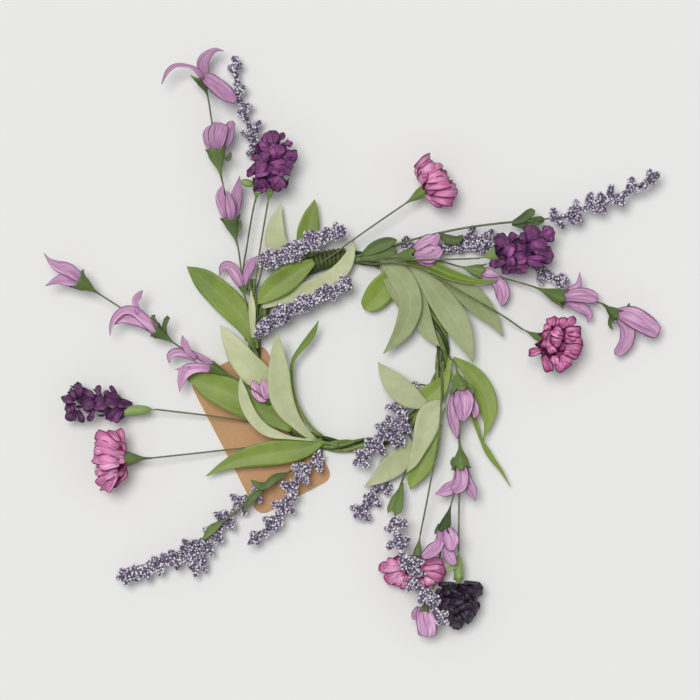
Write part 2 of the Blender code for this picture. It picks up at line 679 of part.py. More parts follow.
LEAVES = {
    # each leafy stem: its twig, then the leaves as points, half width in pixels, roll and fullest share
    "leaves_upper": (
        [twig_at(174, 12), twig_at(160, 20), twig_at(146, 35),
         twig_at(130, 48), twig_at(117, 55)],
        [([twig_at(172, 12), at(228, 308, 6), at(208, 283, 7), at(187, 267, 8)], 14, 0, 0.5),
         ([twig_at(147, 35), at(272, 293, 12), at(292, 283, 12.5), at(313, 263, 12.5)], 12, 0, 0.45),
         ([twig_at(140, 45), at(296, 287, 10), at(325, 275, 10.3), at(354, 242, 11)], 10, 0, 0.5),
         ([twig_at(133, 48), at(277, 245, 8), at(281, 203, 8)], 9, 0, 0.45),
         ([twig_at(122, 52), at(306, 235, 8), at(314, 199, 9)], 10, 0, 0.5)],
    ),
    "leaves_left": (
        [twig_at(262, 92), twig_at(252, 92), twig_at(243, 88),
         twig_at(234, 80)],
        [([twig_at(235, 80), at(270, 404, 9.8), at(255, 375, 10), at(239, 349, 10.5),
           at(222, 325, 11)], 14, 0, 0.65),
         ([twig_at(236, 80), at(268, 416, 11.8), at(232, 393, 12.5), at(188, 379, 11)], 13, 0, 0.5),
         ([twig_at(253, 85), at(280, 448, 10), at(244, 456, 10), at(207, 476, 9)], 11, 0, 0.45),
         ([twig_at(246, 92), at(273, 433, 16), at(252, 417, 18.5), at(240, 384, 21)], 6, 20, 0.5),
         ([twig_at(248, 100), at(300, 405, 17), at(287, 372, 22), at(278, 334, 22)], 12, 0, 0.5),
         ([twig_at(252.5, 103), at(299, 404, 11.5), at(291, 366, 13), at(318, 323, 14)], 4.2, 52, 0.6)],
    ),
    "leaves_right": (
        [twig_at(78, 92), at(385, 262, 9.8), at(398, 261, 11), at(412, 263, 11.5),
         at(424, 265, 11.5)],
        [([at(388, 262, 10.5), at(404, 281, 14), at(408, 310, 15), at(384, 353, 14)], 13, 0, 0.5),
         ([at(408, 263, 11), at(420, 290, 11), at(428, 317, 10), at(438, 346, 9.5)], 10, 0, 0.5),
         ([at(410, 263, 11.5), at(431, 288, 14), at(453, 318, 15), at(473, 361, 14)], 13, 0, 0.5),
         ([at(419, 264, 11.3), at(452, 281, 10.5), at(480, 306, 10.5), at(503, 336, 9.5)], 11, 0, 0.5),
         ([at(415, 264, 11.8), at(440, 276, 15), at(468, 285, 15.5), at(498, 281, 15)], 4, 20, 0.5),
         ([at(387, 262, 9.8), at(384, 276, 9.6), at(374, 294, 8.5), at(364, 306, 7)], 13, 10, 0.6)],
    ),
    "leaves_lower": (
        [twig_at(354, 88), at(443, 370, 10.8), at(443, 385, 13), at(441, 405, 14.5),
         at(433, 430, 13), at(427, 443, 12)],
        [([at(441, 404, 14.5), at(424, 398, 18.5), at(402, 385, 21), at(378, 362, 20)], 14, 0, 0.5),
         ([at(443, 386, 13), at(431, 390, 13.2), at(413, 400, 13.4)], 9, 0, 0.5),
         ([at(440, 411, 14.5), at(431, 432, 16.5), at(420, 452, 17), at(408, 472, 16)], 12, 0, 0.5),
         ([at(435, 425, 13.5), at(431, 446, 13), at(422, 468, 12), at(413, 489, 11)], 10, 0, 0.55),
         ([at(433, 430, 13), at(412, 452, 10), at(390, 470, 8), at(365, 487, 8)], 10, 0, 0.5),
         ([at(444, 361, 10), at(470, 369, 9.8), at(486, 396, 10.2), at(484, 438, 10)], 12, 0, 0.5),
         ([at(443, 366, 10.4), at(464, 392, 8.5), at(482, 430, 8.5), at(511, 486, 8.5)], 4, 25, 0.6)],
    ),
}


def make_leaves():
    """Leafy stems: thin leaves that grow out of a twig on the ring."""
    for name, (twig, leaves) in LEAVES.items():
        bodies = [wire(twig, TWIG, 5)]
        for points, half_width, roll, fullest in leaves:
            bodies.append(blade(points, half_width * PIXEL, (4, 2), roll, 0.18, fullest))
        place(name, unite(bodies, "MANIFOLD"), "leaf")


STALK = 0.7 * MM
BRACTS = {
    # each: its wire, then small pointed leaves as foot, middle and tip, half width in pixels
    "lavender_left_long_stem": (
        [on_ring(249, 0, STALK + GAP), at(300, 463, 5.5), at(288, 473, 9), at(268, 485, 13), at(240, 508, 14.5),
         at(208, 534, 15.5)],
        [([at(286, 474, 9.5), at(275, 478, 14), at(266, 487, 14)], 4),
         ([at(272, 484, 12.5), at(258, 487, 15), at(252, 480, 15)], 4),
         ([at(262, 490, 13.3), at(252, 497, 15.5), at(243, 511, 15)], 4),
         ([at(222, 522, 15), at(212, 529, 17), at(203, 540, 17)], 5)],
    ),
    "lavender_right_long_stem": (
        [on_ring(96, 62, STALK + GAP), at(364, 254, 9.5), at(415, 239, 14), at(459, 229, 15), at(502, 223, 15),
         at(530, 222, 14.5)],
        [([at(366, 253, 9.8), at(380, 243, 12), at(398, 240, 13)], 5),
         ([at(439, 233, 14.5), at(452, 239, 15.5), at(464, 238, 15.5)], 5),
         ([at(506, 223, 15), at(522, 219, 15.5), at(535, 211, 15)], 4),
         ([at(506, 223, 15), at(526, 225, 13.5), at(544, 223, 13)], 4)],
    ),
    "lavender_lower_long_stem": (
        [on_ring(311, 5, STALK + GAP), at(414, 446, 5), at(407, 468, 8), at(401, 485, 11), at(395, 508, 15.5)],
        [([at(402, 484, 11), at(396, 500, 13), at(389, 514, 13)], 5),
         ([at(402.6, 482, 10.8), at(404, 500, 13.5), at(402, 513, 15)], 4)],
    ),
}


def make_bracts():
    """Green stems of the long lavender heads, with small bracts."""
    for name, (way, bracts) in BRACTS.items():
        bodies = [wire(way, STALK, 4, 0.012)]
        for points, half_width in bracts:
            bodies.append(blade(points, half_width * PIXEL, (3, 1), 0, 0, 0.5))
        place(name, unite(bodies), "calyx")


make_ring()
make_tape()
make_bundle()
make_tag()
make_spikes()
make_chains()
make_heads()
make_leaves()
make_bracts()
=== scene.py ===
"""Looks of a small wreath of dried-look lavender, lilac chains, ruffled flowers and leafy stems.

It lies face up, as its solids do: X to the right, Y to the top of the wreath, Z up to the one who looks at it.
Places over the floor are u and v, in pixels of the reference photograph, with a height in millimetres.
"""
import math
import random
import re

import bpy
import numpy as np
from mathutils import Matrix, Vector


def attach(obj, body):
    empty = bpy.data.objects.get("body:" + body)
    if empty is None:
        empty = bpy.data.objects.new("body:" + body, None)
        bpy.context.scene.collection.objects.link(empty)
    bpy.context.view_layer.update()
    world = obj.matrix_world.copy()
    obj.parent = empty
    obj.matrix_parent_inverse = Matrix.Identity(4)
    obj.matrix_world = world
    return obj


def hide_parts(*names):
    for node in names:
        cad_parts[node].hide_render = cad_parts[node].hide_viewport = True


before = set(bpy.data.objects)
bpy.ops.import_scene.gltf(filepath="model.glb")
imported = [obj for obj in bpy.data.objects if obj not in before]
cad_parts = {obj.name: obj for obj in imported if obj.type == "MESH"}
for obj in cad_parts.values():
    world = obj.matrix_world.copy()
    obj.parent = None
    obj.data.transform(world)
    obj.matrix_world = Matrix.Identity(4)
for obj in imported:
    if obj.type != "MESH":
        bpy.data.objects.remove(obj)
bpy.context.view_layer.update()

# The view: the photograph looks square at the wreath's face, so a long lens looks straight down on it. The
# card behind the wreath, 50 mm wide, covers 84 pixels and gives the scale.
MM = 0.001
PIXEL = 0.050 / 84
MIDDLE = (352.7, 341.2)
PICTURE = 700 * PIXEL
CAMERA_HEIGHT = 3.0
FACE_HEIGHT = 0.014
scene = bpy.context.scene


def spot(u, v, height):
    """The point over pixel u, v at a height in millimetres."""
    return Vector(((u - MIDDLE[0]) * PIXEL, (MIDDLE[1] - v) * PIXEL, height * MM))


def put(name, data):
    """A new object that shows this mesh, lamp or camera."""
    result = bpy.data.objects.new(name, data)
    scene.collection.objects.link(result)
    return result


scene.camera = put("camera", bpy.data.cameras.new("camera"))
scene.camera.location = spot(350, 350, CAMERA_HEIGHT / MM)
scene.camera.data.lens = scene.camera.data.sensor_width * (CAMERA_HEIGHT - FACE_HEIGHT) / PICTURE
scene.camera.data.clip_end = 20

# The floor: plain, pale and matt, with soft daylight from the upper left as in the photograph. The sun is wide,
# which makes its shadows soft, and the sky fills them.
HALF_FLOOR = 3.0
SUN_TURN = (-10, -9, 0)
SUN_WIDTH = 24


def feed(socket, value):
    """Gives an input what it takes: a node, a node's output, a colour or another plain value."""
    if isinstance(value, bpy.types.Node):
        value = value.outputs[0]
    if isinstance(value, bpy.types.NodeSocket):
        socket.id_data.links.new(value, socket)
    else:
        socket.default_value = (*value, 1) if socket.type == "RGBA" else value


def principled(name, colour, roughness):
    """A new material of one colour, and its shader."""
    material = bpy.data.materials.new(name)
    material.use_nodes = True
    shader = material.node_tree.nodes["Principled BSDF"]
    feed(shader.inputs["Base Color"], colour)
    feed(shader.inputs["Roughness"], roughness)
    return material, shader


ground = bpy.data.meshes.new("floor")
corners = [(-HALF_FLOOR, -HALF_FLOOR, 0), (HALF_FLOOR, -HALF_FLOOR, 0), (HALF_FLOOR, HALF_FLOOR, 0),
           (-HALF_FLOOR, HALF_FLOOR, 0)]
ground.from_pydata(corners, [], [(0, 1, 2, 3)])
ground.materials.append(principled("pale_floor", (0.79, 0.795, 0.79), 0.9)[0])
put("floor", ground)
daylight = bpy.data.lights.new("daylight", "SUN")
daylight.energy = 2.15
daylight.angle = math.radians(SUN_WIDTH)
daylight.color = (1.0, 0.985, 0.96)
sun = put("daylight", daylight)
sun.location.z = 2
sun.rotation_euler = [math.radians(angle) for angle in SUN_TURN]
scene.world = bpy.data.worlds.new("sky")
scene.world.use_nodes = True
sky = scene.world.node_tree.nodes["Background"]
feed(sky.inputs["Color"], (0.97, 0.985, 1.0))
feed(sky.inputs["Strength"], 0.37)
scene.view_settings.view_transform = "Standard"

# The ring: plastic-covered stem wires in olive and dark green, bent into a hoop and twisted round each other
# like a rope. Its strands are tubes along their own paths.
RING_SPOT = (348.5, 351.5)
RING_RADIUS = 56.4 * MM
RING_HEIGHT = 3.9 * MM
STRAND_TINTS = (0.15, 0.9, 0.7, 0.25, 1.0, 0.6, 0.8)
STRAND_RADIUS = 1.25 * MM
STRAND_OUT = 2.75 * MM
STRAND_SIDES = 8
ROPE_TURNS = 7
ROPE_STEPS = 220
CORE_RADIUS = 2.1 * MM
CORE_STEPS = 72


def around_ring(angle, out, over):
    """A point by the ring: angle round the ring, distance out from its centre line, over round its section."""
    turn = math.radians(angle)
    lift = math.radians(over)
    radius = RING_RADIUS + out * math.cos(lift)
    height = RING_HEIGHT + out * math.sin(lift)
    return spot(*RING_SPOT, 0) + Vector((radius * math.cos(turn), radius * math.sin(turn), height))


def add(tree, kind, *values, **named):
    """A new node: values go to its inputs in order, None skips one, and names are properties or inputs."""
    node = tree.nodes.new(kind)
    for name, value in named.items():
        if hasattr(node, name):
            setattr(node, name, value)
        else:
            feed(node.inputs[name.replace("_", " ")], value)
    for socket, value in zip(node.inputs, values):
        if value is not None:
            feed(socket, value)
    return node


def tree_of(*values):
    """The node tree of the first node or output among the values."""
    return next(value.id_data for value in values if isinstance(value, (bpy.types.Node, bpy.types.NodeSocket)))


def ramp(source, *stops):
    """A colour ramp on a value: stops are places, each with a colour or a grey."""
    node = add(tree_of(source), "ShaderNodeValToRGB", source)
    elements = node.color_ramp.elements
    while len(elements) < len(stops):
        elements.new(0.5)
    for element, (place, colour) in zip(elements, stops):
        element.position = place
        element.color = (*colour, 1) if isinstance(colour, tuple) else (colour, colour, colour, 1)
    return node


def noise(tree, scale, detail=3, stretch=(1, 1, 1)):
    """Noise over the object's own coordinates."""
    where = add(tree, "ShaderNodeTexCoord").outputs["Object"]
    fit = add(tree, "ShaderNodeMapping", Vector=where, Scale=stretch)
    return add(tree, "ShaderNodeTexNoise", Vector=fit, Scale=scale, Detail=detail)


def blend(share, first, second, how="MIX"):
    """Mixes two colours by a share: at least one of the three is a node or an output."""
    skipped = [None] * 5
    node = add(tree_of(share, first, second), "ShaderNodeMix", share, *skipped, first, second,
               data_type="RGBA", blend_type=how)
    return node.outputs[2]


def measure(how, *values):
    """A sum on nodes, outputs and numbers."""
    return add(tree_of(*values), "ShaderNodeMath", *values, operation=how)


def bump(shader, height, strength, distance):
    """Raises the shader's surface by a height."""
    relief = add(tree_of(shader), "ShaderNodeBump", Strength=strength, Distance=distance, Height=height)
    feed(shader.inputs["Normal"], relief)


def per_part(tree):
    """The random share that each strand, leaf, petal or bead carries."""
    return add(tree, "ShaderNodeAttribute", attribute_name="tint").outputs["Fac"]


def stem_finish(name, light, dark, roughness):
    """Plastic or tape on wire: one of two greens for each strand, mottled, with fine ridges."""
    material, shader = principled(name, light, roughness)
    tree = tree_of(shader)
    base = ramp(per_part(tree), (0.30, dark), (0.62, light))
    patches = ramp(noise(tree, 260, 4), (0.30, 0.55), (0.72, (1.25, 1.25, 1.2)))
    feed(shader.inputs["Base Color"], blend(1.0, base, patches, "MULTIPLY"))
    bump(shader, noise(tree, 1500, 2), 0.35, 0.0004)
    return material


def growth(name, **inputs):
    """A new geometry tree that takes a mesh and these inputs, and what it is given, by name."""
    tree = bpy.data.node_groups.new(name, "GeometryNodeTree")
    for label, kind in (("Geometry", "Geometry"), *inputs.items()):
        tree.interface.new_socket(label.replace("_", " "), in_out="INPUT", socket_type="NodeSocket" + kind)
    tree.interface.new_socket("Geometry", in_out="OUTPUT", socket_type="NodeSocketGeometry")
    return tree, tree.nodes.new("NodeGroupInput").outputs


def carried(tree, name):
    """The number that each point carries under a name."""
    return add(tree, "GeometryNodeInputNamedAttribute", data_type="FLOAT", Name=name)


def strand_tree():
    """Geometry nodes that turn each line of a mesh into a round strand as thick as its points say."""
    tree, given = growth("strands", Sides="Int", Finish="Material")
    line = add(tree, "GeometryNodeMeshToCurve", Mesh=given["Geometry"])
    section = add(tree, "GeometryNodeCurvePrimitiveCircle", Radius=1.0, Resolution=given["Sides"])
    skin = add(tree, "GeometryNodeCurveToMesh", Curve=line, Profile_Curve=section, Fill_Caps=True,
               Scale=carried(tree, "thick"))
    smooth = add(tree, "GeometryNodeSetShadeSmooth", Geometry=skin)
    real = add(tree, "GeometryNodeRealizeInstances", Geometry=smooth)
    coat = add(tree, "GeometryNodeSetMaterial", Geometry=real, Material=given["Finish"])
    add(tree, "NodeGroupOutput", coat)
    return tree


def grow(source, tree, **inputs):
    """Runs a node tree on an object and keeps the result as its plain mesh."""
    modifier = source.modifiers.new("grow", "NODES")
    modifier.node_group = tree
    for item in tree.interface.items_tree:
        label = item.name.replace(" ", "_")
        if item.in_out == "INPUT" and label in inputs:
            modifier[item.identifier] = inputs[label]
    source.update_tag()
    bpy.context.view_layer.update()
    result = bpy.data.meshes.new_from_object(source.evaluated_get(bpy.context.evaluated_depsgraph_get()))
    source.modifiers.remove(modifier)
    result.name = source.name
    source.data = result


def mark(mesh, name, values):
    """Writes a number under a name on each point of a mesh."""
    mesh.attributes.new(name, "FLOAT", "POINT").data.foreach_set("value", values)


def take_over(result, slot, *nodes):
    """The piece stands for its solids and lies with them."""
    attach(result, "root")
    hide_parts(*nodes)


STRANDS = strand_tree()


def strands(name, lines, finish, slot, node):
    """A piece of round strands along lines: each line is its points, its radius and its random share."""
    verts, edges, thick, tints = [], [], [], []
    for points, radius, tint in lines:
        base = len(verts)
        verts += [tuple(point) for point in points]
        edges += [(base + index, base + index + 1) for index in range(len(points) - 1)]
        thick += [radius] * len(points)
        tints += [tint] * len(points)
    mesh = bpy.data.meshes.new(name)
    mesh.from_pydata(verts, edges, [])
    mark(mesh, "thick", thick)
    mark(mesh, "tint", tints)
    result = put(name, mesh)
    grow(result, STRANDS, Sides=STRAND_SIDES, Finish=finish)
    take_over(result, slot, node)


rope_green = stem_finish("rope_green", (0.175, 0.235, 0.045), (0.030, 0.060, 0.018), 0.42)
rope = []
for number, tint in enumerate(STRAND_TINTS):
    points = []
    for step in range(ROPE_STEPS + 1):
        share = step / ROPE_STEPS
        sway = 25 * math.sin(2 * math.pi * (3 * share + 0.37 * number))
        over = 360 * (number / len(STRAND_TINTS) + ROPE_TURNS * share) + sway
        out = STRAND_OUT * (1 + 0.10 * math.sin(2 * math.pi * (5 * share + 0.61 * number)))
        point = around_ring(360 * share, out, over)
        point.z = max(point.z, STRAND_RADIUS)
        points.append(point)
    rope.append((points, STRAND_RADIUS, tint))
rope.append(([around_ring(360 * step / CORE_STEPS, 0, 0) for step in range(CORE_STEPS + 1)], CORE_RADIUS, 0.1))
strands("stem_ring", rope, rope_green, "stem", "ring_stems")

# The wraps: waxy crepe tape, wound in ribs round the ring at the upper left, and round the bundle of stem ends
# that runs up the left side.
WRAP_FROM = 93
WRAP_TO = 122
WRAP_TURNS = 11
WRAP_STEPS = 16 * WRAP_TURNS
WRAP_OUT = 4.4 * MM
COIL_RISE = 1.6 * MM
COIL_RADIUS = 1.35 * MM
BUNDLE = [(256, 348, 9.6), (255, 330, 10.6), (254, 312, 10.9), (252.5, 292, 10.9), (252, 279, 11.2)]
BUNDLE_TINTS = (0.3, 0.7, 0.45, 0.6, 0.4, 0.75)
BUNDLE_WIDE = 1.35 * MM
BUNDLE_HIGH = 1.1 * MM
BUNDLE_RADIUS = 0.85 * MM
BAND_STARTS = (4, 13, 22, 30)
BAND_WIDE = 2.1 * MM
BAND_HIGH = 1.9 * MM
BAND_STEP = 0.02 * MM
BAND_RADIUS = 0.4 * MM
tape_green = stem_finish("tape_green", (0.095, 0.125, 0.022), (0.035, 0.055, 0.012), 0.6)


def along(rows, count):
    """Evenly spaced rows on a smooth curve through the given ones. The first three numbers are the place."""
    rows = np.asarray([list(row) for row in rows], float)
    ends = np.vstack([2 * rows[0] - rows[1], rows, 2 * rows[-1] - rows[-2]])
    fine = []
    for a, b, c, d in zip(ends, ends[1:], ends[2:], ends[3:]):
        square = 2 * a - 5 * b + 4 * c - d
        cube = 3 * b - a - 3 * c + d
        fine += [(2 * b + (c - a) * t + square * t * t + cube * t**3) / 2 for t in np.arange(0, 1, 0.1)]
    fine = np.array(fine + [rows[-1]])
    steps = np.linalg.norm(np.diff(fine[:, :3], axis=0), axis=1)
    run = np.concatenate([[0], np.cumsum(steps)])
    wanted = np.linspace(0, run[-1], count)
    return np.stack([np.interp(wanted, run, column) for column in fine.T], axis=1)


def by_wrap(share, out, over):
    """A point by the wrapped stretch of the ring."""
    return around_ring(WRAP_FROM + (WRAP_TO - WRAP_FROM) * share, out, over)


shares = [step / WRAP_STEPS for step in range(WRAP_STEPS + 1)]
coil = [by_wrap(share, WRAP_OUT, 360 * WRAP_TURNS * share) + Vector((0, 0, COIL_RISE)) for share in shares]
sleeve = [by_wrap(step / 12, 0, 0) for step in range(13)]
wrap = [(coil, COIL_RADIUS, 0.46), (sleeve, WRAP_OUT, 0.2)]
strands("tape_wrap", wrap, tape_green, "tape", "tape_wrap_upper")
bundle_path = [Vector(point) for point in along([spot(*row) for row in BUNDLE], 40)]
bundle = []
for number, tint in enumerate(BUNDLE_TINTS):
    points = []
    for index, point in enumerate(bundle_path):
        turn = 2 * math.pi * number / len(BUNDLE_TINTS) + 0.05 * index
        points.append(point + Vector((BUNDLE_WIDE * math.cos(turn), 0, BUNDLE_HIGH * math.sin(turn))))
    bundle.append((points, BUNDLE_RADIUS, tint))
for start in BAND_STARTS:
    loops = []
    for step in range(40):
        angle = 2 * math.pi * step / 13
        centre = bundle_path[min(start + step // 8, len(bundle_path) - 1)]
        out = Vector((BAND_WIDE * math.cos(angle), BAND_STEP * step, BAND_HIGH * math.sin(angle)))
        loops.append(centre + out)
    bundle.append((loops, BAND_RADIUS, 0.6))
strands("stem_bundle", bundle, rope_green, "tape", "taped_bundle_left")

# The card: a plain kraft tag under the lower left of the wreath, cut from brown recycled board with flecks. It
# lies behind the ring, and its solid only gets this finish.
kraft, shader = principled("kraft_board", (0.46, 0.27, 0.14), 0.85)
tree = tree_of(shader)
fibre = ramp(noise(tree, 900, 6, (1, 4, 1)), (0.3, (0.45, 0.255, 0.125)), (0.7, (0.565, 0.338, 0.176)))
cloud = ramp(noise(tree, 40), (0.3, 0.92), (0.7, (1.06, 1.05, 1.04)))
feed(shader.inputs["Base Color"], blend(1.0, fibre, cloud, "MULTIPLY"))
bump(shader, noise(tree, 1800, 4), 0.25, 0.0002)
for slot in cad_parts["kraft_tag"].material_slots:
    slot.material = kraft


# The leaves: printed polyester cut to long willow leaves, green above and pale sage beneath, pressed with a
# fine midrib. They grow out of short twigs bound to the ring, and many turn their pale side up.
def entries(text):
    """What a table says: words, each with its rows of numbers, which commas part."""
    return [(word, [tuple(map(float, row.split())) for row in rows.split(",")])
            for word, rows in re.findall("([a-z]+)([^a-z]+)", text)]


def from_pixels(rows):
    """Rows of u, v, height and half width in pixels as rows in metres."""
    return [(*spot(*row[:3]), row[3] * PIXEL) for row in rows]


def shape(verts, faces, uvs=None, slot=0, tint=0.5):
    """One part of a piece: its points, faces, map, material slot or slots, and random share."""
    uvs = np.zeros((len(verts), 2)) if uvs is None else np.asarray(uvs, float)
    slots = slot if isinstance(slot, list) else [slot] * len(faces)
    return np.asarray(verts, float), faces, uvs, slots, np.full(len(verts), tint)


def piece(name, shapes, materials, slot=None, node=None):
    """One smooth mesh object out of several parts, in place of its solid where it names one."""
    faces, slots, base = [], [], 0
    for part in shapes:
        faces += [tuple(base + index for index in face) for face in part[1]]
        slots += part[3]
        base += len(part[0])
    mesh = bpy.data.meshes.new(name)
    mesh.from_pydata(np.concatenate([part[0] for part in shapes]).tolist(), [], faces)
    uvs = np.concatenate([part[2] for part in shapes])
    corners = np.zeros(len(mesh.loops), int)
    mesh.loops.foreach_get("vertex_index", corners)
    mesh.uv_layers.new(name="UVMap").data.foreach_set("uv", uvs[corners].ravel())
    mark(mesh, "tint", np.concatenate([part[4] for part in shapes]))
    mesh.polygons.foreach_set("material_index", slots)
    mesh.shade_smooth()
    for material in materials:
        mesh.materials.append(material)
    result = put(name, mesh)
    if node:
        take_over(result, slot, node)
    return result


def unit(rows):
    """Each row made one long."""
    return rows / np.maximum(np.linalg.norm(rows, axis=-1, keepdims=True), 1e-12)


def turned(side, top, angle):
    """The direction at an angle from side towards top."""
    return side * math.cos(angle) + top * math.sin(angle)


def skin(count, sides):
    """The faces of a closed skin over rings of points, count points in all."""
    faces = [tuple(range(sides)), tuple(range(count - sides, count))[::-1]]
    for low in range(0, count - sides, sides):
        for corner in range(sides):
            other = (corner + 1) % sides
            faces.append((low + sides + corner, low + sides + other, low + other, low + corner))
    return faces


def tube(points, radius, sides=8, tint=0.5, slot=0):
    """A round closed rod through the points."""
    points = np.asarray([list(point) for point in points], float)
    ahead = unit(np.gradient(points, axis=0))
    side = unit(np.cross(ahead, (0.02, 0.03, 1.0)))
    top = np.cross(side, ahead)
    verts = []
    for index in range(len(points)):
        for corner in range(sides):
            angle = 2 * math.pi * corner / sides
            verts.append(points[index] + turned(side[index], top[index], angle) * radius)
    return shape(verts, skin(len(verts), sides), slot=slot, tint=tint)


def sheet(rows, cells, roll=0.0, cup=0.0, fold=0.0, ruffle=0.0, waves=2.5, phase=0.0, thick=0.3 * MM, slot=0,
          under=None, tint=0.5, rounding=0.9, notch=0.0, wide_to=None, pleat=0.0):
    """A thin leaf or petal: rows are the points from its foot to its tip, each with the half width there.

    It faces up, or lies with its breadth along wide_to, and then rolls on its middle line. Under is the slot
    of its lower side, and notch the depth of the teeth at its tip.
    """
    rows = along(rows, cells[0] + 1)
    path = rows[:, :3]
    width = np.maximum(rows[:, 3], 0.12 * MM)
    share = np.linspace(0, 1, cells[0] + 1)
    if rounding:
        length = np.linalg.norm(np.diff(path, axis=0), axis=1).sum()
        end = min(0.35, rounding * width[-1] / length)
        if end > 0.02:
            past = np.clip((share - (1 - end)) / end, 0, 1)
            width = width * np.sqrt(np.maximum(1 - past**2, 0.02))
    ahead = unit(np.gradient(path, axis=0))
    side = unit(np.cross(ahead, (0.0, 0.0, 1.0)))
    if wide_to is not None:
        wide_to = np.asarray(wide_to, float)
        side = unit(wide_to - ahead * (ahead @ wide_to)[:, None])
    top = np.cross(side, ahead)
    turn = math.radians(roll)
    side, top = side * math.cos(turn) + top * math.sin(turn), top * math.cos(turn) - side * math.sin(turn)
    across = np.linspace(-1, 1, cells[1] + 1)[None, :, None]
    wide, run = width[:, None, None], share[:, None, None]
    wave, other_wave = (np.sin(2 * math.pi * waves * run + phase + shift) for shift in (0, 2.1))
    ripple = np.where(across > 0, wave, other_wave) * across**2
    drift = phase + 1.3 * np.sin(3 * run + phase)
    crease = np.abs(np.sin(4.2 * across + drift)) + 0.6 * np.abs(np.sin(7.3 * across - 1.7 * drift + 2 * run))
    rise = (cup * across**2 + fold * np.abs(across) + ruffle * ripple + pleat * crease) * wide
    grid = path[:, None, :] + side[:, None, :] * across * wide + top[:, None, :] * rise
    if notch:
        grid = grid + ahead[:, None, :] * run**6 * (np.cos(5 * math.pi * across) * notch)
    normal = unit(np.cross(unit(np.gradient(grid, axis=1)), unit(np.gradient(grid, axis=0))))
    upper, lower = ((grid + normal * away / 2).reshape(-1, 3) for away in (thick, -thick))
    count = len(upper)
    columns = cells[1] + 1
    under = slot if under is None else under
    faces, slots = [], []
    for i in range(cells[0]):
        for j in range(cells[1]):
            a = i * columns + j
            quad = (a, a + 1, a + columns + 1, a + columns)
            faces += [quad, tuple(count + index for index in quad[::-1])]
            slots += [slot, under]
    rim = list(range(columns)) + [i * columns + cells[1] for i in range(1, cells[0] + 1)]
    rim += [cells[0] * columns + j for j in range(cells[1] - 1, -1, -1)]
    rim += [i * columns for i in range(cells[0] - 1, 0, -1)]
    for a, b in zip(rim, rim[1:] + rim[:1]):
        faces.append((b, a, count + a, count + b))
        slots.append(under)
    u, v = np.meshgrid(share, (across[0, :, 0] + 1) / 2, indexing="ij")
    uvs = np.stack([u.ravel(), v.ravel()], axis=1)
    return shape(np.vstack([upper, lower]), faces, np.vstack([uvs, uvs]), slots, tint)


def own_map(tree):
    """A leaf's or petal's map, its shares along and across, and off: 0 on its middle line, 1 at its edges."""
    where = add(tree, "ShaderNodeTexCoord").outputs["UV"]
    split = add(tree, "ShaderNodeSeparateXYZ", where).outputs
    off = measure("MULTIPLY", measure("ABSOLUTE", measure("SUBTRACT", split["Y"], 0.5)), 2.0)
    return where, split["X"], split["Y"], off


def leaf_finish(name, light, dark, rib, roughness):
    """Matt printed cloth with soft patches, a thin midrib, faint side veins and a woven grain."""
    material, shader = principled(name, light, roughness)
    tree = tree_of(shader)
    _, run, _, off = own_map(tree)
    base = blend(ramp(noise(tree, 28, 2), (0.36, 0), (0.62, 1)), dark, light)
    shade = ramp(per_part(tree), (0.0, (0.56, 0.61, 0.45)), (1.0, (1.12, 1.10, 1.08)))
    base = blend(1.0, base, shade, "MULTIPLY")
    mottle = ramp(noise(tree, 190, 5), (0.32, (0.92, 0.93, 0.90)), (0.68, 1.05))
    base = blend(1.0, base, mottle, "MULTIPLY")
    base = blend(measure("MULTIPLY", ramp(off, (0.86, 0), (1.0, 1)), 0.35), base, dark)
    slant = measure("SUBTRACT", measure("MULTIPLY", run, 9.0), measure("MULTIPLY", off, 2.2))
    waves = measure("SINE", measure("MULTIPLY", slant, 3.1416))
    veins = measure("POWER", measure("ABSOLUTE", waves), 14.0)
    base = blend(measure("MULTIPLY", veins, 0.10), base, rib)
    middle = measure("SMOOTH_MAX", measure("SUBTRACT", 1.0, measure("MULTIPLY", off, 13.0)), 0.0, 0.2)
    base = blend(measure("MULTIPLY", middle, 0.30), base, rib)
    feed(shader.inputs["Base Color"], base)
    bump(shader, measure("ADD", noise(tree, 2600, 2), measure("MULTIPLY", middle, -0.8)), 0.22, 0.0004)
    return material


leaf_green = leaf_finish("leaf_green", (0.226, 0.322, 0.044), (0.146, 0.232, 0.024), (0.30, 0.39, 0.10), 0.5)
leaf_pale = leaf_finish("leaf_pale", (0.545, 0.580, 0.385), (0.430, 0.475, 0.260), (0.42, 0.48, 0.26), 0.62)
twig_green = stem_finish("twig_green", (0.23, 0.31, 0.07), (0.13, 0.19, 0.04), 0.5)

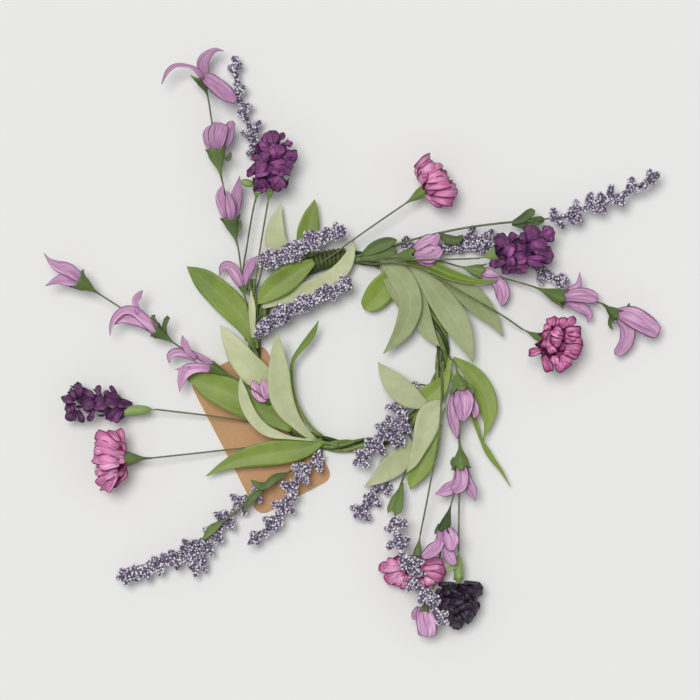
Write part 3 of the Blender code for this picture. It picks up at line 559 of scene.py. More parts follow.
# each leaf: the side it turns up, its roll and cup, then its rows of u, v, height and half width in pixels
LEAVES = {
    "upper": """
green 0 0.12, 253 345 6.5 2, 249 333 6.4 7, 242 318 6.3 12, 226 300.5 6.6 14, 205 281 7.1 11.5,
  194 272 7.6 6, 186.5 266.5 8 0.2
green 0 0.15, 314 261 12.2 3, 300 270 12.8 9, 284 281 13 13, 270 291 12.8 10.5, 262 299 12.5 5.5,
  257 304 12.2 0.2
pale 0 0.1, 262 307 9.4 2, 285 298 9.6 6, 306 290 9.8 8, 327 281 10 8.5, 342 269 10.4 8, 350 255 11 5.2,
  354 240 11.4 0.2
pale 0 0.3, 253 338 12.6 1.5, 252.5 324 13.4 3, 252 306 13.4 3.4, 251 290 13 0.4
pale 0 0.12, 284 262 7.4 7, 279 250 7.8 10.5, 275.5 238 8 10.5, 276.5 222 8.2 7, 279 210 8.2 3,
  280.5 203 8 0.2
green 0 0.12, 306 256 8 6, 307 243 8.2 10.5, 308.5 230 8.6 11, 311 216 9 8, 313.5 206 9.2 4,
  314.5 199 9.2 0.2""",
    "left": """
pale 0 0.1, 300 424 9.2 3, 288 408 9.4 7, 276 394 9.7 11, 264 382 10 13.5, 254 372.5 10.3 14,
  246 364 10.5 13.2, 238.5 354 10.8 12, 230.5 341 11 8, 224 331 11.1 3.8, 220.5 325 11.2 0.2
green 0 0.12, 292 429 11.2 4, 272 417 12 10, 252 405.5 12.6 15, 232 394.5 12.8 16.5, 211 386 12.4 14,
  197 380 11.8 8, 186.5 379 11.2 0.2
green 0 0.12, 323 441 9.6 3, 305 448.5 10 8.6, 285 451.5 10.2 12, 262 454.6 10.2 11.8, 240 459.5 10 8.5,
  222 467 9.6 4.5, 205.5 476.5 9.2 0.2
pale 0 0.15, 314 440 12 1.2, 300 439 13.2 1.3, 287 437.1 15 2.1, 275 434 16.6 4.4, 264.8 429.5 17.6 5.4,
  254.5 419.5 18.8 5.8, 246.8 406 19.8 5.9, 242.6 391 20.6 4.4, 240.3 377 21 0.2
pale 0 0.1, 316 441 10.5 2, 306 433 12.5 4, 296.5 423 14.5 6.2, 288 412 16.8 9.5, 282 399 18.8 11.6,
  279.5 385 20.2 11.8, 279 371 21 10.7, 278 357 21.8 7.8, 277.6 345 22.2 4.8, 277.3 333 22.4 0.2
green 5 0.2, 322 436 10 1.5, 311.5 427.5 10.6 1.5, 300.5 411 11.6 1.5, 295 398.5 12.2 1.6,
  292.3 385 12.8 1.7, 291.3 371 13.2 1.8, 293.3 360 13.5 2, 299.5 350.5 13.8 2.7, 307.5 341 14 3.7,
  313.5 332 14 3, 318.6 320.5 14 0.2""",
    "right": """
pale 0 0.12, 381 258.5 11 2, 391 267 12 8, 402 279.5 13.6 12, 409.5 296 14.8 11.6, 409.5 312 15.1 11.2,
  403 329.5 14.9 9, 394 342 14.5 5.2, 383.2 353.8 14 0.2
pale 0 0.3, 381 261 9.6 1.5, 384.5 273 9.8 3, 390 285 10 4, 395.5 296 10.2 4, 399.5 307 10.4 1
pale 0 0.12, 408 263 10.8 3, 414 283 10.9 8, 418.5 304 10.6 9.5, 424 322 10 8.6, 430.5 335 9.8 6,
  440 346.5 9.5 0.2
pale 0 0.12, 410 263 11.6 3, 424 278 13.2 8, 441 300 14.6 12.5, 456 322 15 13.5, 466 342 14.6 8,
  473 362.5 14 0.2
pale 0 0.12, 419 264 11.2 3, 440 273 11.2 8, 460 287 10.8 11, 480 305 10.6 11, 494 321 10 6,
  503.5 336.5 9.5 0.2
green 14 0.5, 404 260 12 3, 428 266 14.4 6, 452 276 15.4 5.5, 476 282 15.4 3, 497 281 15 0.6
green 8 0.12, 398 264 9.9 3, 393 275 9.7 9, 384 287 9.2 13.5, 375 298 8.4 12.5, 367 306 7.6 8,
  364 309 7.2 3""",
    "lower": """
pale 0 0.1, 428 405 14.5 2.5, 419 402 16.8 7.5, 407 395 18.8 11.8, 395.5 384.5 20.4 11.4,
  385.5 373 21 6.8, 378 362 21 0.2
green 0 0.12, 450 356 10.6 1.6, 449 366 11.2 2.4, 446.5 376 12.2 4, 441 386 13.1 8, 434 393 13.5 11,
  425 399 13.6 10, 416 403 13.4 3
pale 0 0.1, 444 402 14.6 3, 436 408 15 9, 430 415.5 15.4 12.3, 426 428 16.2 12, 422.5 438.5 16.8 10,
  417.8 451 17 7, 412.6 463 16.6 4.6, 406.5 472.5 16 0.3
green 0 0.12, 440 424 13.2 2, 434.5 440 13 6, 427.5 455 12.6 9.8, 419 470 12 10.2, 413 481 11.4 6,
  410.8 489.8 11 0.3
pale 0 0.12, 420 443 12 3, 408 452 10.6 9, 394 465 9.4 12, 381 476 8.5 8, 364 487.5 8 0.2
green 0 0.14, 453 358.5 9.9 2, 462 364.3 10 4.8, 470.5 372 10.1 8, 478 381.5 10.2 10, 485.3 396 10.4 10.8,
  488.6 409.7 10.4 9.3, 488.5 421.5 10.3 5, 486 432 10.1 2, 483 442 10 0.3
green 5 0.3, 446 368 9.8 2, 460 387 9 2.6, 470 407 8.7 2.8, 476.5 425 8.6 2.4, 482 441 8.6 1.7,
  487 450.5 8.6 2.9, 493 460 8.6 2.6, 501 470.5 8.5 1.7, 510.6 486.5 8.5 0.2""",
}
# each twig: how far it starts out from the ring's centre line in mm, its angles by the ring, then its spots
TWIGS = {
    "upper": (5.6, ((174, 14), (160, 22), (146, 36), (130, 48), (116, 55)), ()),
    "left": (5.4, ((264, 92), (252, 92), (243, 88), (233, 80)), ()),
    "right": (5.4, ((78, 92),), ((385, 262, 9.8), (398, 261, 11), (412, 263, 11.5), (425, 265, 11.5))),
    "lower": (5.4, ((354, 88),),
              ((443, 370, 10.8), (443, 385, 13), (441, 405, 14.5), (433, 430, 13), (427, 443, 12))),
}
TWIG_RADIUS = 0.8 * MM
GREEN_TINT = 0.6
PALE_TINTS = {"upper": 0.69, "left": 0.74, "right": 0.0, "lower": 0.33}
dice = random.Random(7)
for group, text in LEAVES.items():
    parts = []
    for side, ((roll, cup), *rows) in entries(text):
        top, under, tint = (0, 1, GREEN_TINT) if side == "green" else (1, 0, PALE_TINTS[group])
        parts.append(
            sheet(from_pixels(rows), (26, 8), roll=roll, cup=0.5 * cup, fold=cup, ruffle=0.07, waves=1.4,
                  phase=dice.uniform(0, 6), slot=top, under=under, tint=tint + dice.uniform(0, 0.2))
        )
    out, angles, spots = TWIGS[group]
    twig = [around_ring(angle, out * MM, lift) for angle, lift in angles] + [spot(*row) for row in spots]
    parts.append(tube(along(twig, 30), TWIG_RADIUS, slot=2))
    piece(f"leafy_stem_{group}", parts, [leaf_green, leaf_pale, twig_green], "leaf", f"leaves_{group}")


# The lavender: florets of tiny beads glued over short buds along a wire, loosely whorled towards the tip and
# packed in the fuller heads. The core between the beads is near black, as painted shade in the gaps between
# them.
def bud(centre, ahead, length, radius, rings=6, sides=8, slot=0):
    """A closed rounded bud."""
    ahead = Vector(ahead).normalized()
    side = ahead.orthogonal().normalized()
    top = ahead.cross(side)
    verts = [centre - ahead * length]
    for number in range(1, rings):
        lift = math.pi * (number / rings - 0.5)
        for corner in range(sides):
            out = turned(side, top, 2 * math.pi * corner / sides) * radius * math.cos(lift)
            verts.append(centre + ahead * length * math.sin(lift) + out)
    verts.append(centre + ahead * length)
    faces = []
    last = len(verts) - 1
    for corner in range(sides):
        other = (corner + 1) % sides
        faces += [(0, 1 + other, 1 + corner), (last, last - sides + corner, last - sides + other)]
        for low in range(1, 1 + (rings - 2) * sides, sides):
            faces.append((low + corner, low + other, low + sides + other, low + sides + corner))
    return shape([list(vert) for vert in verts], faces, slot=slot)


WIRE_TINT = 0.3
SHAKE = 0.3 * MM


def bead_tree():
    """Geometry nodes that scatter beads evenly over a core, but not over its bare wire."""
    tree, given = growth("beads", Spacing="Float", Radius="Float", Seed="Int", Bead_Finish="Material",
                         Speck_Finish="Material", Core_Finish="Material")
    beaded = add(tree, "FunctionNodeCompare", carried(tree, "tint"), WIRE_TINT + 0.1,
                 data_type="FLOAT", operation="GREATER_THAN")
    points = add(tree, "GeometryNodeDistributePointsOnFaces", distribute_method="POISSON", Selection=beaded,
                 Mesh=given["Geometry"], Distance_Min=given["Spacing"], Density_Max=1500000,
                 Seed=given["Seed"])
    shake = add(tree, "FunctionNodeRandomValue", data_type="FLOAT_VECTOR", Min=(-SHAKE, -SHAKE, -SHAKE),
                Max=(SHAKE, SHAKE, SHAKE), Seed=given["Seed"])
    moved = add(tree, "GeometryNodeSetPosition", Geometry=points, Offset=shake)
    ball = add(tree, "GeometryNodeMeshUVSphere", Segments=5, Rings=4, Radius=given["Radius"])
    size = add(tree, "FunctionNodeRandomValue", None, None, 0.78, 1.18, data_type="FLOAT").outputs[1]
    strewn = add(tree, "GeometryNodeInstanceOnPoints", Points=moved, Instance=ball, Scale=size,
                 Rotation=points.outputs["Rotation"])
    share = add(tree, "FunctionNodeRandomValue", data_type="FLOAT").outputs[1]
    marked = add(tree, "GeometryNodeStoreNamedAttribute", data_type="FLOAT", domain="INSTANCE", Name="tint",
                 Geometry=strewn, Value=share)
    real = add(tree, "GeometryNodeRealizeInstances", Geometry=marked)
    smooth = add(tree, "GeometryNodeSetShadeSmooth", Geometry=real)
    coat = add(tree, "GeometryNodeSetMaterial", Geometry=smooth, Material=given["Bead Finish"])
    rare = add(tree, "FunctionNodeCompare", carried(tree, "tint"), 0.012,
               data_type="FLOAT", operation="LESS_THAN")
    speck = add(tree, "GeometryNodeSetMaterial", Geometry=coat, Selection=rare, Material=given["Speck Finish"])
    # The core under the beads gets the near-black finish: painted shade for the gaps between the beads.
    gap_shade_core = add(tree, "GeometryNodeSetMaterial", Geometry=given["Geometry"], Selection=beaded,
               Material=given["Core Finish"])
    both = add(tree, "GeometryNodeJoinGeometry", Geometry=gap_shade_core)
    feed(both.inputs["Geometry"], speck)
    add(tree, "NodeGroupOutput", both)
    return tree


def speckled(name, scale, dark, light, roughness):
    """A finish that varies between two colours."""
    material, shader = principled(name, light, roughness)
    feed(shader.inputs["Base Color"], ramp(noise(tree_of(shader), scale), (0.3, dark), (0.7, light)))
    return material


lavender, shader = principled("lavender_beads", (0.40, 0.34, 0.50), 0.3)
# Each bead gets a random tone from dark violet grey to near white: partly the beads' own mixed colours, partly
# painted shade and painted highlights.
tone = ramp(per_part(tree_of(shader)), (0.0, (0.25, 0.20, 0.32)), (0.35, (0.47, 0.41, 0.54)),
            (0.75, (0.67, 0.62, 0.72)), (1.0, (0.88, 0.86, 0.91)))
feed(shader.inputs["Base Color"], tone)
speck_green = speckled("speck_green", 900, (0.24, 0.32, 0.05), (0.46, 0.50, 0.12), 0.5)
# Painted shade: the near-black core that shows in the gaps between the beads.
glue_dark = speckled("glue_dark", 700, (0.045, 0.034, 0.065), (0.12, 0.095, 0.145), 0.7)
wire_green = stem_finish("wire_green", (0.16, 0.19, 0.08), (0.09, 0.11, 0.05), 0.5)
BEADS = bead_tree()
BEAD_RADIUS = 0.72 * MM
BEAD_SPACING = 1.16 * MM
BUD_RADIUS = 3.7 * PIXEL
BUD_LENGTH = 3.4 * PIXEL
BARE_WIRE = 0.5 * MM
BEADED_WIRE = 1.25 * MM
WHORL_STEP = 3.0 * PIXEL
WHORL_TURN = math.radians(137.5)
WHORL_REACH = 5 * PIXEL

# each: its bare wire, then its beaded stem as u, v, height and reach in pixels, with whorls of buds where it
# has a reach, and the tips of its single buds as u, v
SPRAYS = {
    "upper_slim": """
wire 247.5 290 10, 243 272 11, 247 245 11.5, 252 215 12, 257 192 12, 260 175 10
stem 262 160 8 0, 256 143 9 0, 249 126 10 0, 243 109 11 0, 239.5 98 11 0, 236.5 80 11 0, 235 60 11 0
tips 245 152.5, 248.5 147.5, 251 155, 235 55, 227 66.5, 242.5 64, 231 71, 239.5 70, 246 86.5, 234 90,
  241 95, 244 92, 252 103.5, 236 113.5, 246 116, 241 109, 261 120, 258 128, 250 128, 240 133.5, 246 138,
  255 136, 250 151, 258 149, 254 156""",
    "upper_full": """
wire 257 288 14.4, 261 274 17.5
stem 263 266 18 11, 270 260 18.5 13, 284 255 18.5 13.5, 298 249.5 18.5 13.5, 312 242 18.5 13.5,
  323 236 18.5 11.5, 331 233.5 18.5 5, 339 231 18.5 9
tips 336 222, 345 227, 347 235, 339 241, 334 236, 342 230, 340 236""",
    "inner_full": """
wire 256.3 334 14, 258 333 16.3
stem 258 334 17.8 6, 266 326 18.5 11, 279 316.5 18.5 12.5, 294 308 18.5 12, 308 302 18.5 12,
  320 296 18.5 10, 333 291 18.3 10, 344 284 18 8
tips 343 273.5, 352 278.5, 353 286, 351 291, 337 300, 325 283""",
    "left_long": """
wire 277 482 10.1, 264 490 8.3
stem 256 495 8.2 0, 245 503 8.5 0, 235 511 8.6 0, 224 520 9 0, 214 530 10 0, 203 541 11 0, 192 549.5 12 6,
  178 556.5 12.5 7, 165 561 13 8, 150 567.5 13 9, 136 573 13 10, 125 577 13 9
tips 118.5 569.5, 115.5 578, 125 586, 133 568, 141 565, 136.5 579, 147 582, 152 556, 159.5 577, 161 553,
  169 550, 166 563, 172 567, 177.5 571, 180 545.5, 181.5 539, 191 541, 190 557, 185.5 564, 207.5 550,
  211.5 558, 199 563, 191.5 570, 205.5 574.5, 195.5 579, 199 570, 202.5 528, 209 527, 222 532, 222.5 543,
  217 545, 228 527, 233 531, 231 520, 212.5 513, 219 512, 217 519, 245 516, 241 511, 229 494.5,
  235.5 497.5, 241 497, 232.5 505, 249.5 492, 254 484.5, 257.5 490, 260 502.5, 250 497""",
    "left_short": """
wire 322 449 4.8, 321 453 6
stem 319 458 8 0, 311 464 11 0, 300 473 13 0, 293 485 14 0, 288 499 14 0, 281 511 14 0, 272 523 14 0,
  262 533 14 0, 255 539 14 0
tips 316 449.5, 313 456, 324.5 458, 314.5 462, 320.5 467, 320.5 473, 291.5 465, 298.5 464.5, 304.5 466.5,
  308 471, 295.5 473.5, 301.5 476, 308 476, 308.5 484.5, 303.5 480.5, 280.5 484.5, 286 489, 292 483,
  297.5 493, 297.5 500.5, 286 497, 270.5 503.5, 278 503, 281 509, 290.5 512.5, 294.5 514, 262.5 517.5,
  269 517.5, 280 523, 271 525.5, 277 532.5, 282 527, 250 532, 257 532.5, 253 540, 260 540.5, 248 544.5,
  257 545.5, 267 538""",
    "right_long": """
wire 537 221 15, 546 219 16
stem 553 218 16 0, 565 216 16.5 0, 576 212 17 0, 586 208 17 0, 598 205.5 17 0, 608 199.5 17.2 0,
  620 195 17.8 0, 631 189.5 18 0, 643 184 18 0, 652 178 18 0
tips 553.5 206.5, 549 217, 559.5 214, 561 226.5, 564.5 229.5, 576 199, 572 206, 577 216, 581 220,
  577 224.5, 583 222.5, 591.5 191.5, 599 192, 590.5 203, 597 199, 606.5 203, 605.5 213.5, 597.5 213,
  602 208, 611.5 183.5, 610 190, 610 204, 617 204, 624.5 201, 624.5 206.5, 631.5 176, 629 183, 626 190,
  633 193, 638 192.5, 647 189.5, 649 168.5, 646.5 176, 655 184, 657 181, 660 172.5""",
    "right_short": """
wire 371 257 8.5, 384 249 7.2, 398 245 7
stem 403 244 7 5, 418 246 7 3, 434 249 7.4 6, 447 247 7.5 10, 460 244 7.5 12, 474 243 7.5 13,
  487 246 7.3 10, 500 251 6.8 3, 518 258 6.3 2, 533 265 6.5 3, 544 272 7 7, 556 279 7.8 5, 563 281 8 5
tips 408.5 235.5, 412 241, 404 249, 475.5 224.5, 470 232, 494 228.5, 491 236, 545.5 265, 542 274,
  540 284.5, 550 273, 564.5 272.5, 570.5 281, 565 287, 557.5 286, 563 290""",
    "lower_long": """
wire 394.8 509.5 16, 395 516 18
stem 395 522 20 0, 395 533 22 0, 398 544 23.5 0, 403 556 26 0, 411 570 27.5 0, 415 583 28 0,
  421 592 28.4 0, 430 602 28.8 0, 440 617 29 0
tips 393 516, 400.5 517, 407.5 521, 408.5 525.5, 383 529, 388 524, 402.5 536, 411.5 539.5, 409 544,
  386 548.5, 391.5 542.5, 399 562.5, 401 569, 411.5 556.5, 418.5 558.5, 424 561, 411 564, 407 571.5,
  416 568.5, 425.5 573.5, 419 580, 406.5 584, 406.5 590.5, 413 588, 423.5 585.5, 432.5 589.5, 439.5 595.5,
  418.5 603, 425 601, 440.5 598.5, 432 609, 440 609.5, 448.5 611, 436 617, 445 616.5, 438.5 623.5,
  446.5 624""",
    "lower_short": """
wire 398 441 4.5, 398 450 4.8
stem 392 457 5 0, 384 468 5 0, 381 480 5 3, 377 490 5.5 4, 370 500 8 5, 360 514 9 6
tips 380 462.5, 388 463.5, 372.5 476, 386 487, 392.5 490.5, 389.5 496, 380 488, 371 490, 363 495.5,
  378 496, 373 501.5, 380 508, 367.5 506.5, 349.5 508, 359 509, 367 512.5, 353.5 518, 362 521.5, 370 522""",
    "lower_ring": """
wire 431 389 6.6, 424 385 7.2
stem 415 385 9 5, 408 394 12 3, 403 408 14.4 6, 399 422 16.4 10, 389 430 17.5 10, 378 440 17.2 8,
  366 452 15.8 8, 361 459 15.4 7
tips 384 408.5, 392 409, 385 416, 404 415, 406 424, 411.5 434, 404.5 432, 374 424, 381 422, 376 435.5,
  397 443, 403.5 448, 396.5 449, 389 441, 365 438.5, 373 440, 371 448.5, 380 447, 384 456, 354 452,
  360 461, 369 459.5, 353 465.5, 366 468.5""",
}


def spray_core(wire, stem, tips, dice):
    """The wire and the buds that carry the beads of one spray."""
    rows = from_pixels(stem)
    bare = along([spot(*row) for row in wire] + [rows[0][:3]], 24)
    parts = [tube(bare, BARE_WIRE, 6, tint=WIRE_TINT, slot=1)]
    length = sum(math.dist(a[:3], b[:3]) for a, b in zip(rows, rows[1:]))
    stem = along(rows, int(length / WHORL_STEP) + 2)
    parts.append(tube(stem[:, :3], BEADED_WIRE, 6, tint=0.9))
    path = [Vector(row[:3]) for row in stem]

    def place(foot, tip):
        """A bud that ends in the tip and points away from its foot."""
        lean = (tip - foot).normalized()
        long = max(BUD_LENGTH, (tip - foot).length * 0.5)
        centre = tip - lean * (long + 0.5 * BEAD_RADIUS)
        parts.append(bud(centre, lean, long, BUD_RADIUS * dice.uniform(0.88, 1.12)))

    for index, (point, reach) in enumerate(zip(path, stem[:, 3])):
        ahead = (path[min(index + 1, len(path) - 1)] - path[max(index - 1, 0)]).normalized()
        side = ahead.cross((0, 0, 1)).normalized()
        top = side.cross(ahead)
        swell = 0.85 + 0.17 * math.sin(0.8 * index)
        for number in range(3 if reach > WHORL_REACH else 0):
            angle = WHORL_TURN * (3 * index + number)
            out = side * math.cos(angle) + top * math.sin(angle) * 0.9
            place(point, point + (out * 0.9 + ahead * 0.45) * reach * swell * dice.uniform(0.85, 1.05))
        if reach <= WHORL_REACH and index % 3 == 0:
            out = turned(side, top, math.radians(dice.uniform(30, 150)))
            place(point, point + (out + ahead * 0.4) * max(reach, 4.5 * PIXEL))
    for u, v in tips:
        flat = spot(u, v, 0)
        near = min(range(len(path)), key=lambda index: (path[index].xy - flat.xy).length)
        away = (flat.xy - path[near].xy).length
        foot = path[max(near - int(0.5 * away / WHORL_STEP), 0)]
        tip = Vector((flat.x, flat.y, path[near].z + away * dice.uniform(-0.25, 0.55)))
        place(foot, tip)
        if away > 5.5 * PIXEL:
            length = max(away * 0.32, 2.6 * PIXEL)
            parts.append(bud(foot.lerp(tip, 0.38), tip - foot, length, BUD_RADIUS * 0.95))
    return parts


for seed, (name, text) in enumerate(SPRAYS.items(), 3):
    parts = spray_core(**dict(entries(text)), dice=random.Random(seed))
    spray = piece(f"lavender_spray_{name}", parts, [glue_dark, wire_green])
    grow(spray, BEADS, Spacing=BEAD_SPACING, Radius=BEAD_RADIUS, Seed=seed, Bead_Finish=lavender,
         Speck_Finish=speck_green, Core_Finish=glue_dark)
    take_over(spray, "beads", f"lavender_{name}")


# The lilac chains: thin plastic-covered wire, threaded with small dyed cloth flowers. Each flower sits in a
# folded green cup of pointed sepals, and its wire runs on through it to the next cup.
cup_green = leaf_finish("cup_green", (0.155, 0.238, 0.060), (0.055, 0.098, 0.024), (0.20, 0.29, 0.09), 0.6)
WIRE_RADIUS = 0.52 * MM
CUP_PROFILE = [(0.0, 0.10), (0.18, 0.14), (0.36, 0.26), (0.55, 0.54), (0.74, 0.84), (0.90, 1.0)]


def cup(base, throat, radius, sepals=5, seed=0, slot=1, flare=0.25):
    """A folded green cup: narrow at the wire, with a rim of pointed sepals, hollow inside."""
    dice = random.Random(seed)
    ahead = (throat - base).normalized()
    length = (throat - base).length
    side = ahead.cross((0, 0, 1)).normalized()
    top = side.cross(ahead)
    sides = sepals * 6
    tips = [dice.uniform(0.35, 0.85) for _ in range(sepals)]
    leans = [dice.uniform(-0.15, 0.12) for _ in range(sepals)]
    shift = dice.uniform(0, 6)
    profile = CUP_PROFILE + [(1.0, 1.0 + flare)]
    profile += [(share, out * 0.9 - 0.03) for share, out in profile[:1:-1]]
    verts, uvs = [], []
    for share, out in profile:
        rim = max(share - 0.6, 0) / 0.4
        for corner in range(sides):
            angle = 2 * math.pi * corner / sides + shift
            sepal, phase = corner // 6, corner % 6 / 6
            peak = math.sin(math.pi * phase)
            reach = max(radius * out, WIRE_RADIUS * 0.8)
            reach *= 1 + (0.24 * peak - 0.14) * min(share * 2, 1)
            reach *= 1 + leans[sepal] * rim * rim * peak
            lift = length * share + radius * 0.95 * tips[sepal] * rim * rim * (peak - 0.25)
            verts.append([*(base + ahead * lift + turned(side, top, angle) * reach)])
            uvs.append((share, 0.5 + 0.5 * (phase - 0.5)))
    return shape(verts, skin(len(verts), sides), uvs, slot, dice.random())


def petal_finish(name, pale, deep, edge, streak, edge_from, foot=0.65, tip=0.0, fold=0.3, roughness=0.68,
                 spread=0.28):
    """Dyed cloth petal: paler in the middle, with fine creases, and dye gathered at its edges and tip.

    The creases darken partly with dye and partly as painted shade, and one side of a lengthwise fold and the
    foot are darkened as painted shade.
    """
    material, shader = principled(name, pale, roughness)
    tree = tree_of(shader)
    where, run, across, off = own_map(tree)
    shift = measure("MULTIPLY", per_part(tree), 37.0)
    fit = add(tree, "ShaderNodeMapping", Vector=where, Scale=(2.2, streak, 1))
    crease = add(tree, "ShaderNodeTexNoise", noise_dimensions="4D", Vector=fit, W=shift, Scale=1.0, Detail=4)
    # The deep streaks are partly uneven dye and partly painted shade in the creases.
    tone = blend(ramp(crease, (0.34, 0.8), (0.58, 0)), pale, deep)
    shade = ramp(per_part(tree), (0.0, (1 - spread, 0.97 - spread, 1 - spread)), (1.0, (1.2, 1.18, 1.17)))
    tone = blend(1.0, tone, shade, "MULTIPLY")
    # Painted shade: past one lengthwise fold the petal darkens towards the deep colour, with a dark line along
    # the fold, as if one facet of the folded cloth lay in shade.
    fold_at = measure("ADD", 0.26, measure("MULTIPLY", measure("FRACT", shift), 0.48))
    past = measure("SUBTRACT", across, fold_at)
    past = measure("ADD", past, measure("MULTIPLY", measure("SUBTRACT", run, 0.5), 0.3))
    past = measure("ADD", past, measure("MULTIPLY", noise(tree, 240, 2), 0.1))
    painted_fold_shade = ramp(measure("ADD", past, 0.45), (0.46, 0), (0.54, 1))
    tone = blend(measure("MULTIPLY", painted_fold_shade, fold), tone, deep)
    line = ramp(measure("ABSOLUTE", measure("SUBTRACT", past, 0.05)), (0.0, 1), (0.07, 0))
    tone = blend(measure("MULTIPLY", line, min(1.5 * fold, 0.8)), tone, edge)
    # Painted shade at the foot of the petal, where it goes into the flower; the darker tip is dye.
    tone = blend(measure("MULTIPLY", ramp(run, (0.0, 1), (0.32, 0)), foot), tone, deep)
    tone = blend(measure("MULTIPLY", ramp(run, (0.55, 0), (0.95, 1)), tip), tone, deep)
    uneven = measure("ADD", off, measure("MULTIPLY", noise(tree, 320, 2), 0.14))
    rim = measure("MAXIMUM", uneven, measure("ADD", run, -0.02))
    tone = blend(ramp(rim, (edge_from, 0), (min(edge_from + 0.12, 1.0), 1)), tone, edge)
    feed(shader.inputs["Base Color"], tone)
    bump(shader, crease, 0.6, 0.0008)
    return material


lilac = petal_finish("lilac_cloth", (0.68, 0.42, 0.62), (0.36, 0.15, 0.33), (0.13, 0.045, 0.13), 9, 0.94)
PETAL_THICK = 0.25 * MM

